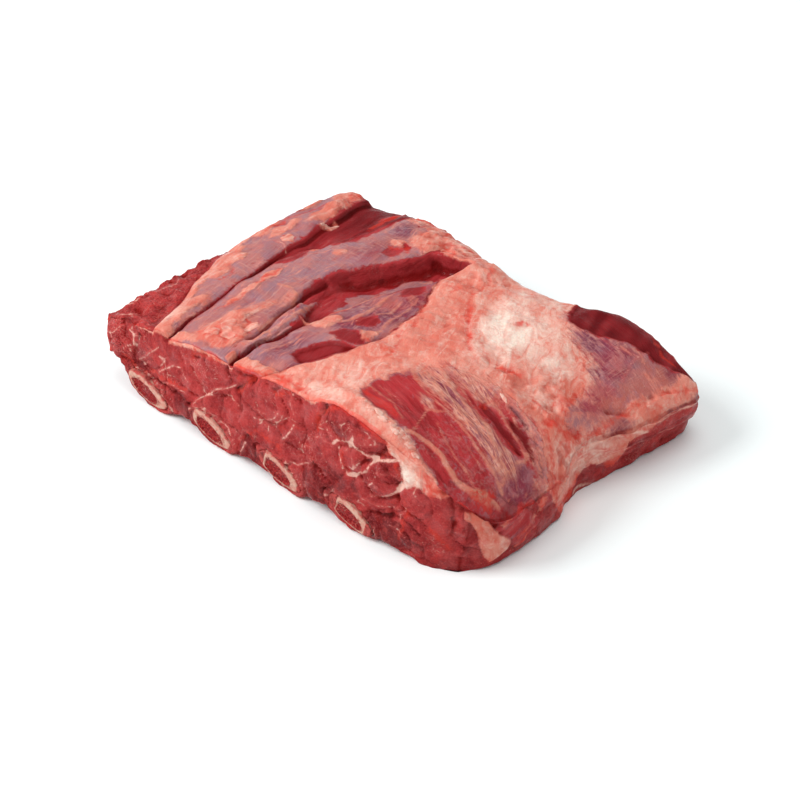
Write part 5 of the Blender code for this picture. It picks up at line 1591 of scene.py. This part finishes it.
def tube_faces(rings, around, upward=False, start=0):
    """Squares between neighbouring rings, and a cap at each end; upward rings run round the other way."""
    ring = start + np.arange(rings - 1)[:, None] * around
    k = np.arange(around)[None, :]
    n = (k + 1) % around
    squares = np.stack([ring + k, ring + around + k, ring + around + n, ring + n], axis=-1).reshape(-1, 4)
    caps = np.stack([start + np.arange(around), start + rings * around - 1 - np.arange(around)])
    if upward:
        squares, caps = squares[:, ::-1], caps[:, ::-1]
    return squares.tolist() + caps.tolist()


def surface_at(x, y):
    """Height of the finished top at plan points, for what lies on it."""
    at = top_lines(y)
    return top_height(x, y, at, top_marks(x, y, at))


def lump_points(x, y, wide, long, high, turn, seed):
    """A soft lump that sits in the top: an oval dome over the surface and a flat foot under it.

    The oval's outline wavers with three waves round it, its height follows the
    surface below, and small swells break its skin.
    """
    source = np.random.default_rng(seed)
    angle = np.linspace(0.0, 2.0 * math.pi, LUMP_AROUND, endpoint=False)[None, :]
    rise = np.linspace(-0.5 * math.pi, 0.5 * math.pi, LUMP_RINGS)[:, None]
    waver = 1.0 + sum(source.uniform(0.04, 0.16) * np.sin(k * angle + source.uniform(0, 6.28)) for k in (2, 3, 5))
    c, s = math.cos(math.radians(turn)), math.sin(math.radians(turn))
    out = np.cos(rise) ** 0.8 * waver
    px = wide * out * np.cos(angle)
    py = long * out * np.sin(angle)
    gx = x + px * c - py * s
    gy = y + px * s + py * c
    base = surface_at(gx.ravel(), gy.ravel()).reshape(gx.shape)
    up = np.sin(rise)
    gz = base + np.where(up > 0.0, high * up, 0.8 * high * up) + 0.0 * angle
    gz = gz + 0.16 * high * swell(gx, gy, gz, 2.4, seed) * np.cos(rise)
    return np.stack([gx, gy, gz], axis=2)


# Lumps of fat on the top: cream, stain, and for each (x, y, half width, half length, height, turn)
LUMP_AROUND = 20
LUMP_RINGS = 11
LUMP_GROUPS = {
    "rim_globules": (0.45, 0.25, (
        (62, -81, 1.8, 2.6, 0.45, 70), (66.5, -82.5, 2.6, 1.9, 0.5, 10), (71, -81, 1.9, 2.6, 0.5, 30),
        (75, -83.5, 2.6, 1.8, 0.5, 0), (79, -81.5, 2.8, 1.9, 0.6, 15), (84, -82.5, 2.6, 1.9, 0.6, 20),
        (89, -84.5, 2.2, 1.7, 0.4, 0), (57, -82, 2.4, 1.6, 0.4, 0), (50, -80, 3.0, 1.9, 0.4, 0),
    )),
    "strip_lumps": (0.2, 0.4, (
        (-59, -66, 4.2, 5.4, 0.4, 20), (-53, -72, 3.6, 4.6, 0.4, 50), (-49, -60, 2.6, 5.2, 0.4, 0),
        (-60, -76, 3.8, 3.4, 0.4, 30), (-108, 22, 3.6, 4.6, 0.4, 0), (-112, -9, 3.0, 5.0, 0.4, 10),
    )),
    "loose_flakes": (0.5, 0.0, (
        (84.5, -18, 1.1, 3.0, 0.4, 68), (-104.5, 50, 1.3, 6.0, 0.6, -14),
    )),
}


# Stage, in metres: the floor, the place and width of each light, and the point that they face
FLOOR_HALF = 6.0
LIGHTS = {"key": ((-0.85, -0.95, 1.05), 1.1), "fill": ((0.35, 0.15, 1.7), 1.6)}
LIGHT_AIM = (0.0, 0.0, 0.02)
SENSOR_WIDTH = 36.0  # millimetres


class PlateSettings(bpy.types.PropertyGroup):
    """Sizes and colours of the meat."""

    columns: IntProperty(name="Columns", description="Squares along the plate", default=270)
    rows: IntProperty(name="Rows", description="Squares from front to back", default=174)
    layers: IntProperty(name="Layers", description="Squares up the walls", default=46)
    lean: FloatVectorProperty(name="Lean", description="Middle red of the lean", default=(0.392, 0.031, 0.036),
        size=3, subtype="COLOR")
    lean_dark: FloatVectorProperty(name="Dark lean", description="Deep red of the lean",
        default=(0.246, 0.015, 0.018), size=3, subtype="COLOR")
    lean_light: FloatVectorProperty(name="Light lean", description="Pale red of the lean",
        default=(0.527, 0.080, 0.076), size=3, subtype="COLOR")
    # Near black red: painted shade deep in the slots, pocket and grooves, and the deep red of darker lean and cut
    # meat
    blood: FloatVectorProperty(name="Slots", description="Near black red in the slots",
        default=(0.117, 0.006, 0.008), size=3, subtype="COLOR")
    silver: FloatVectorProperty(name="Silverskin", description="Greyish lilac of the silverskin",
        default=(0.323, 0.175, 0.202), size=3, subtype="COLOR")
    membrane: FloatVectorProperty(name="Membrane", description="Pinkish film over the lean",
        default=(0.456, 0.181, 0.168), size=3, subtype="COLOR")
    violet: FloatVectorProperty(name="Violet", description="Purple of film over dark meat",
        default=(0.162, 0.040, 0.072), size=3, subtype="COLOR")
    thread: FloatVectorProperty(name="Threads", description="Pale connective threads",
        default=(0.791, 0.456, 0.371), size=3, subtype="COLOR")
    fat: FloatVectorProperty(name="Fat", description="Salmon of the fat", default=(0.680, 0.246, 0.184), size=3,
        subtype="COLOR")
    fat_deep: FloatVectorProperty(name="Deep fat", description="Redder fat in creases",
        default=(0.610, 0.150, 0.105), size=3, subtype="COLOR")
    cream: FloatVectorProperty(name="Cream", description="Palest fat", default=(0.823, 0.672, 0.571), size=3,
        subtype="COLOR")
    stain: FloatVectorProperty(name="Stains", description="Blood stains on the fat", default=(0.591, 0.040, 0.025),
        size=3, subtype="COLOR")
    strand: FloatVectorProperty(name="Strands", description="Tan of the strands of connective tissue",
        default=(0.578, 0.209, 0.144), size=3, subtype="COLOR")
    tan: FloatVectorProperty(name="Tan", description="Brown film with thin fat in it",
        default=(0.423, 0.122, 0.098), size=3, subtype="COLOR")
    # Painted shade: bluish dark of the film deep in slots and grooves, and over the darker lean
    dusk: FloatVectorProperty(name="Dusk", description="Dark bluish film over deep hollows",
        default=(0.150, 0.060, 0.090), size=3, subtype="COLOR")
    # Bright red of the trimmed edges, also laid on the valley's ridge as a painted highlight
    edge_red: FloatVectorProperty(name="Trimmed edge", description="Bright red of the trimmed top edge",
        default=(0.672, 0.034, 0.025), size=3, subtype="COLOR")
    # Painted shade: the tint that darkens the hollows of the mesh, where shade falls
    pooled: FloatVectorProperty(name="Hollow shade", description="Tint of what lies in hollows",
        default=(0.515, 0.138, 0.117), size=3, subtype="COLOR")
    cut: FloatVectorProperty(name="Cut", description="Middle red of the cut faces", default=(0.423, 0.042, 0.041),
        size=3, subtype="COLOR")
    cut_dark: FloatVectorProperty(name="Dark cut", description="Dark red of the cut faces",
        default=(0.262, 0.021, 0.023), size=3, subtype="COLOR")
    cut_light: FloatVectorProperty(name="Light cut", description="Pale red of the cut faces",
        default=(0.578, 0.100, 0.091), size=3, subtype="COLOR")


class BoneSettings(bpy.types.PropertyGroup):
    """Sizes and colours of the ribs."""

    around: IntProperty(name="Around", description="Points round a rib", default=64)
    rib_reach: FloatProperty(name="Reach", description="Half length of a rib in millimetres", default=93.6)
    marrow_sink: FloatProperty(name="Sink", description="How deep the spongy middle lies, in millimetres",
        default=0.7)
    bone: FloatVectorProperty(name="Bone", description="Hard rim", default=(0.578, 0.352, 0.270), size=3,
        subtype="COLOR")
    bone_pink: FloatVectorProperty(name="Pink bone", description="Bloody parts of the rim",
        default=(0.565, 0.188, 0.150), size=3, subtype="COLOR")
    marrow: FloatVectorProperty(name="Marrow", description="Dark middle", default=(0.156, 0.007, 0.010), size=3,
        subtype="COLOR")
    sponge: FloatVectorProperty(name="Sponge", description="Lighter walls of the sponge",
        default=(0.392, 0.032, 0.030), size=3, subtype="COLOR")
    stain: FloatVectorProperty(name="Skin", description="Red skin round the bone", default=(0.47, 0.060, 0.055),
        size=3, subtype="COLOR")


class StageSettings(bpy.types.PropertyGroup):
    """Camera, floor and light."""

    azimuth: FloatProperty(name="Azimuth", description="Camera direction round the plate",
        default=math.radians(44.0), subtype="ANGLE")
    elevation: FloatProperty(name="Elevation", description="Camera height above the board",
        default=math.radians(36.0), subtype="ANGLE")
    distance: FloatProperty(name="Distance", description="Camera distance", default=1.2, unit="LENGTH")
    lens: FloatProperty(name="Lens", description="Focal length in millimetres", default=108.0)
    aim: FloatVectorProperty(name="Aim", description="Point the camera looks at", default=(0.0255, -0.029, 0.03),
        size=3, subtype="TRANSLATION")
    floor: FloatVectorProperty(name="Floor", description="Pale floor", default=(0.915, 0.975, 0.975), size=3,
        subtype="COLOR")
    key: FloatProperty(name="Key light", description="Power of the large light to the left", default=23.5)
    fill: FloatProperty(name="Fill light", description="Power of the light overhead", default=13.0)
    sky: FloatProperty(name="Sky", description="Strength of the even white light", default=0.48)


class SHORTRIB_OT_plate(bpy.types.Operator):
    """Builds the plate of meat with its strips, slots, fat and cut faces"""

    bl_idname = "shortrib.plate"
    bl_label = "Meat"

    def execute(self, context):
        settings = context.scene.short_rib_plate
        coarse = 3
        a, b, w, faces, sheets = block_faces(settings.columns, settings.rows, settings.layers, coarse)
        points, spots, ways = plate_surface(a, b, w)
        if not np.isfinite(points).all():
            raise RuntimeError("the plate has points that are not numbers")
        # Depth of each point below its neighbours; the material darkens these hollows as painted shade
        hollow = np.full(len(points), -FAR)
        for sheet, values in zip(sheets, (points[:, 2], -points[:, 1], points[:, 1], points[:, 0], -points[:, 0])):
            hollow[sheet] = np.maximum(hollow[sheet], np.clip(hollows(values, sheet, 3), -1.0, 1.5))
        spots["hollow"] = np.where(hollow < -8.0, 0.0, hollow)
        plate = make_mesh("beef_plate", points, faces)
        add_spots(plate, spots, ways)
        groups = {
            "lean": lean_group(settings),
            "skin": skin_group(settings),
            "fat": fat_group(settings),
            "cut": cut_group(settings),
        }
        plate.data.materials.append(plate_material(groups, settings))
        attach(plate, "root")
        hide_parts("meat")
        return {"FINISHED"}


class SHORTRIB_OT_bones(bpy.types.Operator):
    """Builds the four ribs with their sawn ends"""

    bl_idname = "shortrib.bones"
    bl_label = "Ribs"

    def execute(self, context):
        settings = context.scene.short_rib_bones
        material = bone_material(settings)
        for index in range(RIB_COUNT):
            rings, marks = rib_points(index, settings.around, settings)
            faces = tube_faces(len(rings), settings.around)
            bone = make_mesh(f"rib_{index + 1}", rings.reshape(-1, 3), faces)
            add_spots(bone, {"ring": marks.ravel()})
            bone.data.materials.append(material)
            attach(bone, "root")
            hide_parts(f"rib_bone_{index + 1}")
        return {"FINISHED"}


class SHORTRIB_OT_bits(bpy.types.Operator):
    """Builds the globules, lumps and flakes of fat that sit in the meat"""

    bl_idname = "shortrib.bits"
    bl_label = "Fat lumps"

    def execute(self, context):
        group = bpy.data.node_groups["beef_fat"]
        for name, (cream, stain, table) in LUMP_GROUPS.items():
            points = []
            faces = []
            for index, row in enumerate(table):
                points.append(lump_points(*row, 200 + 7 * index).reshape(-1, 3))
                faces += tube_faces(LUMP_RINGS, LUMP_AROUND, True, LUMP_AROUND * LUMP_RINGS * index)
            piece = make_mesh(name, np.concatenate(points), faces)
            piece.data.materials.append(bit_material(name, group, Cream=cream, Stain=stain))
            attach(piece, "root")
        return {"FINISHED"}


class SHORTRIB_OT_stage(bpy.types.Operator):
    """Builds the floor, the lights and the camera"""

    bl_idname = "shortrib.stage"
    bl_label = "Stage"

    def execute(self, context):
        settings = context.scene.short_rib_stage
        scene = context.scene
        mesh = bpy.data.meshes.new("floor")
        corners = [(-FLOOR_HALF, -FLOOR_HALF, 0), (FLOOR_HALF, -FLOOR_HALF, 0)]
        corners += [(FLOOR_HALF, FLOOR_HALF, 0), (-FLOOR_HALF, FLOOR_HALF, 0)]
        mesh.from_pydata(corners, [], [(0, 1, 2, 3)])
        floor = bpy.data.objects.new("floor", mesh)
        scene.collection.objects.link(floor)
        paint = bpy.data.materials.new("pale_floor")
        paint.use_nodes = True
        shader = paint.node_tree.nodes["Principled BSDF"]
        shader.inputs["Base Color"].default_value = (*settings.floor, 1.0)
        shader.inputs["Roughness"].default_value = 0.8
        shader.inputs["Specular IOR Level"].default_value = 0.1
        mesh.materials.append(paint)

        world = bpy.data.worlds.new("studio")
        world.use_nodes = True
        world.node_tree.nodes["Background"].inputs[0].default_value = (1.0, 1.0, 1.0, 1.0)
        world.node_tree.nodes["Background"].inputs[1].default_value = settings.sky
        scene.world = world

        for name, (place, size) in LIGHTS.items():
            lamp = bpy.data.lights.new(name, "AREA")
            lamp.shape = "DISK"
            lamp.size = size
            lamp.energy = getattr(settings, name)
            holder = bpy.data.objects.new(name, lamp)
            holder.location = place
            holder.rotation_mode = "QUATERNION"
            holder.rotation_quaternion = (Vector(LIGHT_AIM) - Vector(place)).to_track_quat("-Z", "Y")
            scene.collection.objects.link(holder)

        lens = bpy.data.cameras.new("camera")
        lens.lens = settings.lens
        lens.sensor_width = SENSOR_WIDTH
        camera = bpy.data.objects.new("camera", lens)
        scene.collection.objects.link(camera)
        a, e = settings.azimuth, settings.elevation
        back = Vector((math.sin(a) * math.cos(e), -math.cos(a) * math.cos(e), math.sin(e)))
        camera.location = Vector(settings.aim) + back * settings.distance
        camera.rotation_mode = "QUATERNION"
        camera.rotation_quaternion = (-back).to_track_quat("-Z", "Y")
        scene.camera = camera
        scene.view_settings.view_transform = "Standard"
        return {"FINISHED"}


class SHORTRIB_PT_panel(bpy.types.Panel):
    """Lists the steps that build the short rib"""

    bl_idname = "SHORTRIB_PT_panel"
    bl_label = "Short Rib"
    bl_space_type = "VIEW_3D"
    bl_region_type = "UI"
    bl_category = "Short Rib"

    def draw(self, context):
        for step in STEPS:
            self.layout.operator(step.bl_idname)


STEPS = (SHORTRIB_OT_plate, SHORTRIB_OT_bones, SHORTRIB_OT_bits, SHORTRIB_OT_stage)
CLASSES = (PlateSettings, BoneSettings, StageSettings) + STEPS + (SHORTRIB_PT_panel,)


def register():
    for cls in CLASSES:
        bpy.utils.register_class(cls)
    bpy.types.Scene.short_rib_plate = PointerProperty(type=PlateSettings)
    bpy.types.Scene.short_rib_bones = PointerProperty(type=BoneSettings)
    bpy.types.Scene.short_rib_stage = PointerProperty(type=StageSettings)


def unregister():
    del bpy.types.Scene.short_rib_plate
    del bpy.types.Scene.short_rib_bones
    del bpy.types.Scene.short_rib_stage
    for cls in reversed(CLASSES):
        bpy.utils.unregister_class(cls)


def main():
    register()
    bpy.ops.shortrib.plate()
    bpy.ops.shortrib.bones()
    bpy.ops.shortrib.bits()
    bpy.ops.shortrib.stage()


if __name__ == "__main__":
    main()
